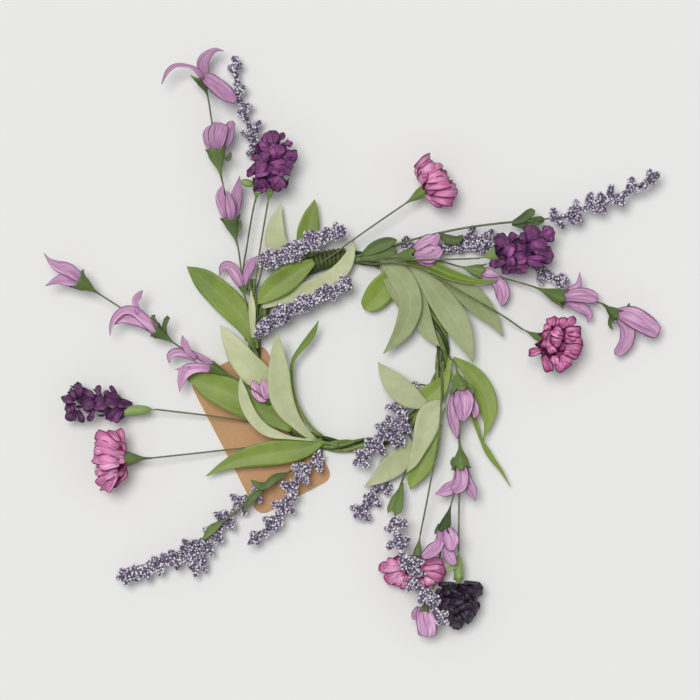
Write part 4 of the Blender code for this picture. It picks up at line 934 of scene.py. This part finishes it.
# each: the start of its wire, then for each flower its cup (base, throat and radius in pixels), its small
# loose sepals and its petals, in rows of u, v, height and half width. A second wire row bends the wire.
CHAINS = {
    "upper": """
wire 248 311 11, 245.8 299 11.5

cup 245 298 11.5, 243 286 12.5, 4.5
petal 242 287 13 3, 238 279 12.6 5.2, 234 271 11.6 5.8, 228 265.5 11 4.6, 222.5 267 10.7 3.2,
  219.5 276 10.6 0.3
petal 244 286 13 2, 246 275 13.2 3.8, 251 264 12.9 4.8, 257.5 256 12.6 0.3

cup 238 247 15, 231 220 16, 7.5
sepal 236 232 16 2, 240 226 16.5 2, 241 220 16.5 0.3
petal 232 221 17 4, 235 205 15 6, 237.5 191 14.2 5.2, 239.7 176 14 0.2
petal 228 221 17 4, 223.5 206 18.5 5.5, 221 195 19.5 4.6, 223.8 184 20 0.2
petal 231 221 18.5 4, 230.5 208 20.6 5.5, 229 199 21 4, 227 191 21 0.3

cup 222 180 15.5, 216 150 17, 9
sepal 226 160 17 2.5, 229.5 157 17.5 2.5, 231 152 17.6 0.5
petal 213 150 17 4, 208.5 141 17.6 4.6, 208 133 17.6 4.2, 212 126 17.2 2
petal 221 150 17 4, 227 139 18.4 6, 229.5 129 18.8 5.6, 233.5 121.5 18.6 2.6
petal 217 150 20 5, 217.5 140 21.4 9, 219.5 130 21 9.4, 221.5 123.5 20.2 8.4

cup 208 97 16.5, 202.5 80 18, 6.5
sepal 200 82 18 2, 195 79 18.5 1.6, 190.5 75.5 18.6 0.3
petal 203 78 19 3, 197 71 20 2.6, 189 66.8 20.5 1.7, 177 66 20.6 2.2, 168 72 20.2 2, 162 84.5 19.2 0.2
petal 205 78 18 4, 203.5 69 17.6 5.8, 204 61 17.4 6, 209 54.5 17.6 4.4, 216 50.3 18 2.2, 224 51.3 18 0.2
petal 203.5 77 20 3, 210 81 23.4 7, 219 88.5 24 8.4, 228 96 23.4 7.6, 236.6 103 22.6 3""",
    "left": """
wire 291.3 415 3.9, 294 405 8, 288 401 12, 283 403 14.2

cup 277.5 404.5 14.5, 268.5 400.5 16.5, 3.6
petal 267 400 17 3, 261 397.5 15.6 5.5, 256 390 15.1 6, 253.5 380 15.2 1
petal 267 399 18 3, 266 391 19.3 5.5, 264 385 19.7 4.5, 262 378.5 19.8 0.4

cup 237 379 18, 212 367 18, 5
petal 212 367 18 5, 200 359 17.2 4.8, 187 353.5 16 4.4, 176 352.5 15.6 4.4, 170 356 15.5 3.4,
  169.3 363 15.5 0.3
petal 196 358 19.6 2.5, 188.5 351 21 2.8, 184.5 343 21.1 3.6, 182.5 335.5 21 0.3
petal 211 369 18.6 4, 198 368 19 4.8, 187 371 18.7 6.5, 182 380 18.2 4.2, 179.7 391.5 18 0.2
petal 190 369.5 19.2 3, 182 369 18.9 2, 175.2 369.6 18.6 0.2

cup 177 345 18, 157 331 18.5, 6
sepal 160 333 19 2.4, 156 324 20 2.6, 153 317.5 20.3 2.4, 156 315 20 1
sepal 165 333 19 2.2, 165 325 20.2 2.4, 168 318 20.4 2.6, 170.5 318.5 20 1
sepal 160 336 18 2, 155.5 337 18 1.6, 153.5 338 18 0.4
petal 159 332 18.6 5.5, 146 320 19 5.8, 135 311 19.6 5, 125 310 20.6 4.2, 117 315.5 21 3.6,
  112 325 20.2 2.2, 110.3 335.5 19.2 0.2
petal 139 314 20 2.2, 135.5 302 20 3, 138.5 296 19.6 3.4, 143 290.5 19.2 0.3
petal 153 330 17.6 4, 143 324 17 4.5, 133 320 16.6 5.4, 123 319.5 16.3 4, 112 325 16.2 0.3

cup 101 295 18.5, 80 281 19, 7.5
sepal 84 277 20 2.2, 83 272 20.5 1.5, 84.5 269.5 20.5 0.4
sepal 84 289 18 2.2, 76 287.5 18 1.4, 69 286.3 18 0.3
petal 81 279 19.6 5, 69 270.5 20.4 7, 58 266.5 20.8 5.2, 49.5 260 20.7 1.8, 45 253.5 20.5 0.2
petal 80 283 19.2 4, 67 279.5 19 6.5, 57 280.5 19 3.6, 46 286 19 0.3""",
    "right": """
wire 379 264 8.4, 384 259 11.6

cup 387 258 13, 413 254 15.6, 6.6
petal 414 252 16 4, 422 246.5 17.6 7, 431 242 18.6 8.5, 437 236.5 19 4, 436.5 232.5 19 0.6
petal 414 256 17 4, 424 256 19 8, 434 253 19.9 8.5, 441.5 249 20 3.5
petal 414 257 16 3, 423 260.5 15.9 4.8, 430 263.5 15.6 3.6, 433.5 265 15.4 0.4

cup 458 266 12.5, 481 272 11.6, 7
petal 481 271 13 4, 490 273.5 14 4.6, 500 276.5 13.8 0.8
petal 481 276 12.6 3, 491 278.5 13 3, 499 280 12.8 0.6
petal 482 275 11.6 3, 494 279 11.7 5, 501.5 287 11.4 7, 503 297 11 6.2, 502 306.5 10.6 0.6

cup 532 286 11, 563 298 13, 8
petal 565 294 13.6 4, 573 291 13.6 5.5, 579 284 13.8 3.2, 579.8 272 14 0.2
petal 566 301 13 4, 576 305 12.8 5.2, 586 311 12.4 4.6, 589.5 316 12.1 3.2, 588 322 12 0.5
petal 564 297 15 5, 578 295.5 16.4 7.2, 590 297 15.8 7.4, 598 299.5 15 4

cup 601 303 12.8, 617 315 14, 6.5
sepal 622 312 15 2.4, 627 308.5 15.4 2, 629.5 303 15.4 0.6
sepal 612 314 13.5 2.4, 610 324 13 2, 613 330 12.8 0.4
petal 619 318 14 4, 627 328 13.4 7.2, 627 340 12.5 7.2, 622 349 11.6 6, 615 354 11 3.4
petal 617 313 15.2 5, 630 316 16.2 10, 643 323.5 15.8 10.5, 652 329.5 15.3 9.4, 659 334 15 5.5""",
    "lower": """
wire 442 350 8.6, 449 357 13, 454 362 16

cup 456 366 17.5, 460 389 18.6, 8.6
sepal 466 386 20 3.5, 471 390 20.2 3, 472.5 395 20 0.6
petal 456 391 16 4, 453.5 404 15.5 5.6, 454 419 15.3 5.9, 456 430 15.1 4.2, 457 438.5 15 0.6
petal 466 391 19 4, 471 402 18.6 5.5, 475 412 18.2 4.4, 473.5 418 18 0.8
petal 461 390 21.5 6.5, 463 400 23.6 10.8, 463 411 23.4 8.4, 461.5 421 22.8 2

cup 459.5 440 18.5, 461 466 19.5, 8.4
sepal 455 458 19 2.4, 452 462 19 2, 452 467 19 0.4
petal 458 472 18.6 3.5, 455.5 483 17.8 4.8, 446 490.5 17.3 6.2, 435.5 494 17 0.6
petal 465 469 19.4 3.4, 467 480 19 4.8, 471 490 18.6 5.4, 475.5 500.5 18 0.3
petal 461 466 22 5, 462 476 23 6.6, 459.5 485 23.1 7.4, 452 491 22.8 3.6

cup 452 500 21.5, 444 529 23.5, 6
sepal 440 524 24 2.4, 436 530 24 1.6, 434.5 534 24 0.3
petal 440.5 530 24.4 4, 439 542 24.9 5, 431.5 550 24.9 7, 421.5 556.5 24.8 3
petal 446 540 23.4 3, 448 550 23.1 4.8, 451 558 22.8 6, 455.5 564 22.6 2
petal 447 528 26 4.5, 450 537 27.1 8, 451 545 27.4 6.6, 453 549.5 27.5 3

wire 441 549 19, 438 566 9.5
cup 435.5 581 12, 424.5 611 20.4, 4.4
petal 420 608 17.2 4, 415.5 613.5 16.2 4, 413.5 619.5 15.6 1.6
petal 430 609 16.4 4, 433.5 618 15.8 3.6, 434 628 15 2.6, 433 633 14.6 0.5
petal 425 606 18.4 7, 425.5 616 19.6 9.6, 427 627 19 9.8, 427.5 636.5 17.4 8""",
}
LILAC_TINTS = {"upper": 0.1, "left": 0.6, "right": 0.35, "lower": 0.45}
dice = random.Random(11)
for group, text in CHAINS.items():
    green, wire = [], []
    for number, block in enumerate(text.split("\n\n")):
        parts = []
        for word, rows in entries(block):
            if word == "wire":
                wire += [spot(*row) for row in rows]
            elif word == "cup":
                base, throat = (spot(*row) for row in rows[:2])
                green.append(cup(base, throat, rows[2][0] * PIXEL, seed=dice.randrange(999)))
                wire += [base, throat]
            elif word == "sepal":
                green.append(sheet(from_pixels(rows), (8, 4), cup=0.3, slot=1, tint=dice.random()))
            else:
                parts.append(
                    sheet(from_pixels(rows), (24, 16), cup=dice.uniform(-0.1, 0.25), ruffle=0.14, waves=1.6,
                          phase=dice.uniform(0, 6), thick=PETAL_THICK, pleat=0.20, rounding=0.4,
                          tint=LILAC_TINTS[group] + dice.uniform(0, 0.45), roll=dice.uniform(-12, 12))
                )
        if parts:
            piece(f"lilac_bloom_{group}_{number}", parts, [lilac], "lilac", f"lilac_{group}_flower_{number}")
    green.append(tube(along(wire, 120), WIRE_RADIUS, 7))
    piece(f"lilac_chain_{group}", green, [wire_green, cup_green], "calyx", f"lilac_{group}_wire")

# The ruffled heads: purple ones are tufts of crumpled broad cloth petals with dark edges, pink ones are bowls
# of pale petals with crimson edges. Each sits in a narrow green cup on its own wire. The petals that the
# photograph shows lie on the front of the head, over layers of petals all round a core.
purple = petal_finish("purple_cloth", (0.31, 0.070, 0.27), (0.125, 0.020, 0.118), (0.022, 0.004, 0.028), 4,
                      0.87, 0.55, 0.3, 0.65, 0.55, 0.68)
plum = petal_finish("plum_cloth", (0.23, 0.050, 0.215), (0.070, 0.013, 0.075), (0.012, 0.003, 0.016), 4,
                    0.85, 0.6, 0.45, 0.65, 0.55, 0.8)
night = petal_finish("night_cloth", (0.048, 0.021, 0.062), (0.015, 0.006, 0.021), (0.004, 0.002, 0.006), 4,
                     0.84, 0.6, 0.3, 0.6, 0.5, 0.6)
pink = petal_finish("pink_cloth", (0.84, 0.44, 0.68), (0.53, 0.085, 0.28), (0.22, 0.008, 0.08), 5,
                    0.85, 0.25, 0.7, 0.35, 0.6)
carmine = petal_finish("carmine_cloth", (0.74, 0.31, 0.56), (0.38, 0.035, 0.18), (0.085, 0.003, 0.03), 5,
                       0.82, 0.4, 0.85, 0.4, 0.6, 0.4)
cup_light = leaf_finish("cup_light", (0.33, 0.46, 0.17), (0.22, 0.33, 0.10), (0.42, 0.54, 0.25), 0.55)
core_purple = speckled("core_purple", 700, (0.03, 0.008, 0.04), (0.08, 0.02, 0.10), 0.8)
core_crimson = speckled("core_crimson", 700, (0.035, 0.002, 0.012), (0.15, 0.012, 0.06), 0.8)

# each: its build, its finishes, its slot, its cup's radius in pixels and slot (1 dark, 2 light), then its
# wire; its foot, its middle and half its length, breadth and depth in pixels; and the petals that show from
# the front, as foot u and v, tip u and v, and half width in pixels
HEADS = {
    "purple_upper": ("ball", (purple, core_purple), "purple", 3.6, 1, """
wire 253 296 14.2, 256 278 13.3, 259 255 11.5, 264 225 15, 268 203 19.5
head 270 192 20.5, 271 162.5 21.5, 28.5 20 17
petals 273 147 273 131 6, 266.5 146 266.5 133 3.2, 279.5 140 284.5 134 3, 276 159 278 145 8,
  283 155 296.6 160 8, 285 146 292 142.5 3.5, 273.5 157.5 259 142.5 3.6, 268 163 261 154 6.5,
  269 171 256 170 7.5, 271 168 287.5 169 8.5, 284 171 290.5 173.5 3.2, 255.5 166.5 247.8 177 3.4,
  260 156 251 160 3, 260 178 260 194 6.5, 275 177 277 192 9.5, 268 150 262 141 4.5, 286 164 293 168 5"""),
    "purple_left": ("spike", (plum, core_purple), "purple", 5.6, 2, """
wire 287 424 4.6, 262 425 5.5, 248 422 6, 210 416 9, 156 409.5 13
head 121 411 14.5, 98 403 15, 35.5 14.5 15
petals 81 397 77.5 382 3.6, 77 399.5 71 388 2.3, 74 401 61.8 397 4, 75.5 406 65 409 5,
  74 409 69.4 421 4.8, 78 410 82.8 422.6 3, 94 410 88.8 420.6 3, 97 402 82 404 6.2,
  108 403.5 96 403.5 6.5, 100 397 98.2 385.4 2.6, 95.5 398 85.5 390 3, 109 395.5 105.6 390.5 2.5,
  117 396 110.5 386 2.2, 122 406 105 397 6, 125 402 109 392 3, 121 409 109.6 420.5 6.5, 132 405 117 402 4,
  110 408 103 411 5, 92 405 84 410 4"""),
    "purple_right": ("ball", (purple, core_purple), "purple", 5, 2, """
wire 352 262 8.6, 366 260 14, 400 260 21.5, 450 259.5 22, 479 258.5 21.5
head 494 254 21.7, 521 250 22, 28 19 17
petals 509 248 495.2 235.7 6, 505 260 489 265 5.5, 509 264 502 273.5 5, 513 244 504.5 256 5,
  526 248 515 252 7, 526 257 515 260 6, 530 242.5 534 226.5 9, 541 238.5 553 230.4 7.5,
  529 246.5 545 249 8.5, 538 253 553.2 255.5 7.5, 526 260 543.5 262.5 6, 519 264 524.6 273 6,
  514 266 514 273.5 4.4, 524.5 242.5 522 232.5 5, 510 256 510 266 4"""),
    "purple_lower": ("ball", (night, core_purple), "dark_purple", 4.8, 2, """
wire 449 361 6.4, 454 385 6.5, 458 420 7.5, 459.5 460 10, 458.6 551 14
head 458.5 581 14, 459.5 604 14, 22 20 18
petals 456 584 438.5 585 2.5, 463.5 583 482.9 589 4.5, 465.5 589 478 596.6 7, 465.5 601.5 479.3 608.4 4.8,
  462 610 472.4 618.6 4.6, 459 613 464 625.5 5, 456 615 456 629.3 5.5, 453 613 445.5 618.6 5,
  451 603 436 602.4 6, 451 594 440.5 591.8 6, 456 586 452 592 8, 462 588 470.5 599.5 7, 456 596 456 606 7,
  462 600 465 610 7, 451 603 451 614 6, 445 590 437 596 5"""),
    "pink_upper": ("open", (pink, core_crimson), "pink", 6, 1, """
wire 315 266 8.8, 334 254 14, 350 242 15, 380 221 16, 402 206 16
head 424 191 16.5, 436 181 19, 13 27 22
petals 416.5 169 429.5 159.5 5.6, 418 175 437 167.5 5.8, 421.5 181 444.5 174.5 6, 425 187 449 183 6,
  429 192.5 457.5 191.5 5.6, 431 197 452 201.5 5.4, 426 195 443.5 205.2 4.6, 432 172 441 164.5 3,
  438 180 447 177 3, 444 188 455 186.5 3"""),
    "pink_left": ("open", (pink, core_crimson), "pink", 8, 1, """
wire 297 437 4.4, 280 445 6.3, 237 449 7, 190 454 12, 152 458 15
head 123 459 16.5, 110 460 18.5, 15 30 23
petals 122 444 119.6 428.9 4, 121 446 109 430.3 5.5, 119.6 448 96.2 434.3 6, 119.6 453 95.5 442.8 5.5,
  119.6 457 100 450.4 6.5, 119.6 462 99 462 7, 118.5 469 98.6 475.5 6.8, 117 474 105.5 489.5 4.6,
  118 472 97.5 484 4.6, 106 450 95 450.5 4, 106 462 94 458.5 4, 106 470 95.5 471 4, 108 440 95 437 3.4"""),
    "pink_right": ("open", (carmine, core_crimson), "pink", 4, 1, """
wire 357 261 8.8, 372 264 14, 395 263 18, 417 267 19.5, 436 277 19.5, 465 294 19, 500 314 14,
  522.5 329 7.4
head 541 338 6.5, 556 343.5 17, 9 25 25
petals 561 335.6 552 329.5 5.4, 549.5 340.5 561 341.7 5.6, 551 337 541.3 333.5 5.2, 548 338.5 545 348 5.2,
  547.5 345 553 353 3.8, 540.5 351 528.8 353.2 3.6, 543.5 356 549.7 371 4.2, 553.8 356 553.3 365 5,
  557 361 562 371.5 4.5, 560 356 570.5 365 6.5, 564 351 577.5 355 5, 565 347 580.5 349.5 5,
  565 340 582 342.8 4.6, 565 335.5 578.5 337.3 4, 565.5 331 579.5 331.5 5, 564 327.5 574.4 317.6 3.6,
  559 327.5 567 319 5, 554 327 556 317.5 4, 550.5 328 543.4 325 4, 551 326 550.5 318 4"""),
    "pink_lower": ("open", (pink, core_crimson), "pink", 4.4, 1, """
wire 441 350 8.6, 441 366 13.5, 441.5 385 17, 441 404 19.5, 438 440 20.5, 428 495 18, 420.5 534 12
head 417 556 11.3, 413 572 12, 15 31 15
petals 401.5 567 378.8 567.5 5, 400.5 571 385.5 581.5 6, 403 573 392.5 584.5 5.4, 406 575 401.5 589 5,
  399 565 386 562.5 5, 423.5 563 443 561 3.4, 423.5 569 446 572 6, 423.5 573 443 580 5,
  423.5 576.5 432.5 585 4, 420 578 425.5 588 4, 412 574 411 588 5"""),
}
# each layer of petals: how many, then forward and out for the foot, bend and tip as shares of half the length
# and breadth, and the half width as a share of the breadth
LAYERS = dict(entries("""
ball 6 -0.85 0.15 -0.78 0.62 -0.56 0.94 0.4, 6 -0.5 0.4 -0.3 0.8 -0.05 0.94 0.42,
  6 -0.15 0.4 0.1 0.8 0.36 0.88 0.4, 5 0.2 0.34 0.46 0.64 0.68 0.7 0.38,
  4 0.45 0.16 0.72 0.34 0.94 0.36 0.34
spike 5 -0.85 0.1 -0.66 0.56 -0.46 0.86 0.3, 5 -0.5 0.2 -0.3 0.6 -0.08 0.88 0.3,
  5 -0.15 0.2 0.06 0.6 0.26 0.86 0.28, 5 0.2 0.18 0.4 0.54 0.6 0.78 0.28,
  4 0.5 0.12 0.72 0.4 0.9 0.52 0.26
open 9 -1 0.14 -0.66 0.7 0.25 0.97 0.32, 9 -0.8 0.14 -0.36 0.64 0.55 0.86 0.3,
  8 -0.5 0.1 -0.1 0.48 0.8 0.66 0.26, 6 -0.3 0.08 0.2 0.3 0.95 0.42 0.24,
  4 -0.1 0.04 0.4 0.12 0.98 0.2 0.2"""))
LAYER_WIDTHS = {"ball": (0.40, 1.0, 0.55), "spike": (0.40, 1.0, 0.40), "open": (0.35, 0.9, 1.0)}
CORES = {"ball": (0.84, 0.74), "spike": (0.86, 0.56), "open": (0.58, 0.56)}
# the petals of the front arch over the head, with round or broad ends
FRONT_ARCH = ((0.0, -1.2), (0.3, 0.5), (0.6, 1.1), (0.82, 0.8), (1.0, -0.2))
ROUND_ENDS = ((0.8, 0.1), (0.95, 0.45), (0.75, 0.25))
BROAD_ENDS = ((1.0, 0.8), (0.95, 0.6))


def head_petals(foot, face, half, build, front, dice):
    """The petals of one head: layers round a core, and those of its front as listed."""
    ahead = (face - foot).normalized()
    side = ahead.cross((0, 0, 1)).normalized()
    top = side.cross(ahead)
    long, broad, deep = (size * PIXEL for size in half)
    core_long, core_wide = CORES[build]
    bowl = build == "open"
    parts = [bud(face - ahead * 0.1 * long, ahead, long * core_long, min(broad, deep) * core_wide, slot=1)]
    for number, (count, *places, width) in enumerate(LAYERS[build]):
        for index in range(int(count)):
            angle = 2 * math.pi * (index + 0.5 * (number % 2)) / count + dice.uniform(-0.12, 0.12)
            outward = side * math.cos(angle) * broad + top * math.sin(angle) * deep
            around = ahead.cross(outward).normalized()
            size = dice.uniform(0.86, 1.0)
            wide = min(broad, deep) * width * dice.uniform(0.9, 1.1)
            rows = []
            for forward, out, share in zip(places[::2], places[1::2], LAYER_WIDTHS[build]):
                point = face + ahead * long * forward + outward * out * (size if out > 0.5 else 1)
                rows.append((*point, wide * share))
            parts.append(
                sheet(rows, (9, 8), wide_to=around, roll=dice.uniform(-22, 22), cup=dice.uniform(0.15, 0.4),
                      ruffle=0.18, waves=1.8, phase=dice.uniform(0, 6), thick=PETAL_THICK,
                      tint=dice.random() * 0.8, notch=0.4 * MM if bowl else 0.2 * MM)
            )
    for number, (foot_u, foot_v, tip_u, tip_v, width) in enumerate(front):
        ends = dice.choice(BROAD_ENDS if bowl else ROUND_ENDS)
        rows = []
        for (share, lift), part in zip(FRONT_ARCH, (0.5, 0.8, 1.0, *ends)):
            flat = spot(foot_u, foot_v, 0).lerp(spot(tip_u, tip_v, 0), share)
            off = flat - face
            off.z = 0
            far = min((off.dot(ahead) / long) ** 2 + (off.dot(side) / broad) ** 2, 1)
            rise = 7 * MM if bowl and long <= 10 * PIXEL else 0.88 * deep * math.sqrt(1 - far)
            height = face.z + rise + (lift + 0.25 * (number % 3)) * MM
            rows.append((flat.x, flat.y, height, width * PIXEL * 1.2 * part))
        parts.append(
            sheet(rows, (14, 12), rounding=0.1, roll=dice.uniform(-20, 20), cup=dice.uniform(-0.1, 0.1),
                  fold=dice.uniform(-0.6, 0.45), ruffle=0.26, waves=1.7, phase=dice.uniform(0, 6),
                  thick=PETAL_THICK, tint=0.15 + 0.85 * dice.random(), notch=dice.uniform(0.2, 0.6) * MM,
                  pleat=0.12)
        )
    return parts


for seed, (name, (build, finishes, slot, radius, cup_slot, text)) in enumerate(HEADS.items(), 40):
    table = dict(entries(text))
    foot, face, half = table["head"]
    foot, face = spot(*foot), spot(*face)
    colour, end = name.split("_")
    parts = head_petals(foot, face, half, build, table["petals"], random.Random(seed))
    piece(f"{colour}_head_{end}", parts, finishes, slot, f"{name}_flower")
    wire = [spot(*row) for row in table["wire"]]
    base = wire[-1]
    stem = [tube(along(wire, 60), WIRE_RADIUS, 7)]
    if name == "purple_right":
        stem.append(cup(base, foot, 6.2 * PIXEL, 4, 3, cup_slot, 0.3))
    elif cup_slot == 2:
        length = (foot - base).length / 2
        stem.append(bud(base.lerp(foot, 0.62), foot - base, length, radius * PIXEL, 10, 12, 2))
        stem.append(cup(base, base.lerp(foot, 0.9), radius * 0.9 * PIXEL, 3, seed, cup_slot, 0.1))
    else:
        stem.append(cup(base, foot, radius * PIXEL, seed=seed, slot=cup_slot, flare=0.1))
    if name == "purple_upper":
        stem.append(cup(spot(255.6, 202, 12.5), spot(258, 189.5, 22), 4.4 * PIXEL, 3, 5, 2, 0.1))
        lean = spot(245, 182.5, 20) - spot(254, 185, 20)
        stem.append(bud(spot(247.5, 183.5, 21), lean, 7 * PIXEL, 4 * PIXEL, slot=2))
    if name == "purple_lower":
        rows = [(459, 565, 16.5, 1), (452.5, 566.5, 17, 3.4), (446, 570.5, 16.6, 1.6)]
        stem.append(sheet(from_pixels(rows), (8, 4), cup=0.4, slot=2, rounding=0.3))
    piece(f"{colour}_wire_{end}", stem, [wire_green, cup_green, cup_light], "calyx", f"{name}_stem")

# The green stems of the long sprays: wire in green tape, with small folded bracts where the beads begin. Each
# runs from the ring to the foot of its spray.
STALK_RADIUS = 0.68 * MM
BRACT_STEMS = {
    "left": """
wire 315 446 4.4, 300 463 5.5, 288 473 9, 268 485 13, 240 508 14.5, 208 534 15.5
bract 286 474 9.8 1.5, 275 478 13.6 4, 266 486 14 3.4, 262 489 14 0.5
bract 272 484 12.8 1.5, 260 486 15 4, 251 480 15 0.8
bract 262 490 13.6 1.5, 253 497 15.4 4, 243 511 15 0.6
bract 222 522 15.2 1.5, 212 529 16.8 4.6, 203 540 17 1""",
    "right": """
wire 343 259 8.6, 364 254 9.7, 415 239 14, 459 229 15, 502 223 15, 534 221 14.8
bract 362 255 10 2, 374 248 11.6 6, 386 243 12.6 6, 397 240 13 2
bract 361 259 10 2, 376 254 10.6 5, 392 252 11.2 5, 397 253 11.2 2
bract 438 233 14.8 1.5, 447 239 15.4 4.6, 457 240 15.6 4, 463 235 15.6 1
bract 512 223 15.2 1.6, 522 219 15.6 4.2, 530 213 15.4 4.4, 535 210.5 15.2 2.6
bract 512 224 14.6 1.6, 526 225 14 4, 536 221 13.6 4.4, 545 219 13.2 2.8""",
    "lower": """
wire 406 429 4.6, 414 446 5, 407 468 8, 401 485 11, 395 507 15.4
bract 402 483 11 1.6, 400 496 15.4 3.4, 397.5 506 17.6 5, 396 514.5 18.8 4
bract 400.5 488 10.9 1.2, 394 499 12.6 2.8, 390 508 13.4 2.8, 388 513 13.6 1""",
}
dice = random.Random(23)
for name, text in BRACT_STEMS.items():
    (_, wire), *bracts = entries(text)
    parts = [tube(along([spot(*row) for row in wire], 60), STALK_RADIUS, 7)]
    for _, rows in bracts:
        parts.append(
            sheet(from_pixels(rows), (12, 6), cup=0.3, slot=1, tint=dice.random(), phase=dice.uniform(0, 6))
        )
    piece(f"green_stem_{name}", parts, [wire_green, cup_green], "calyx", f"lavender_{name}_long_stem")
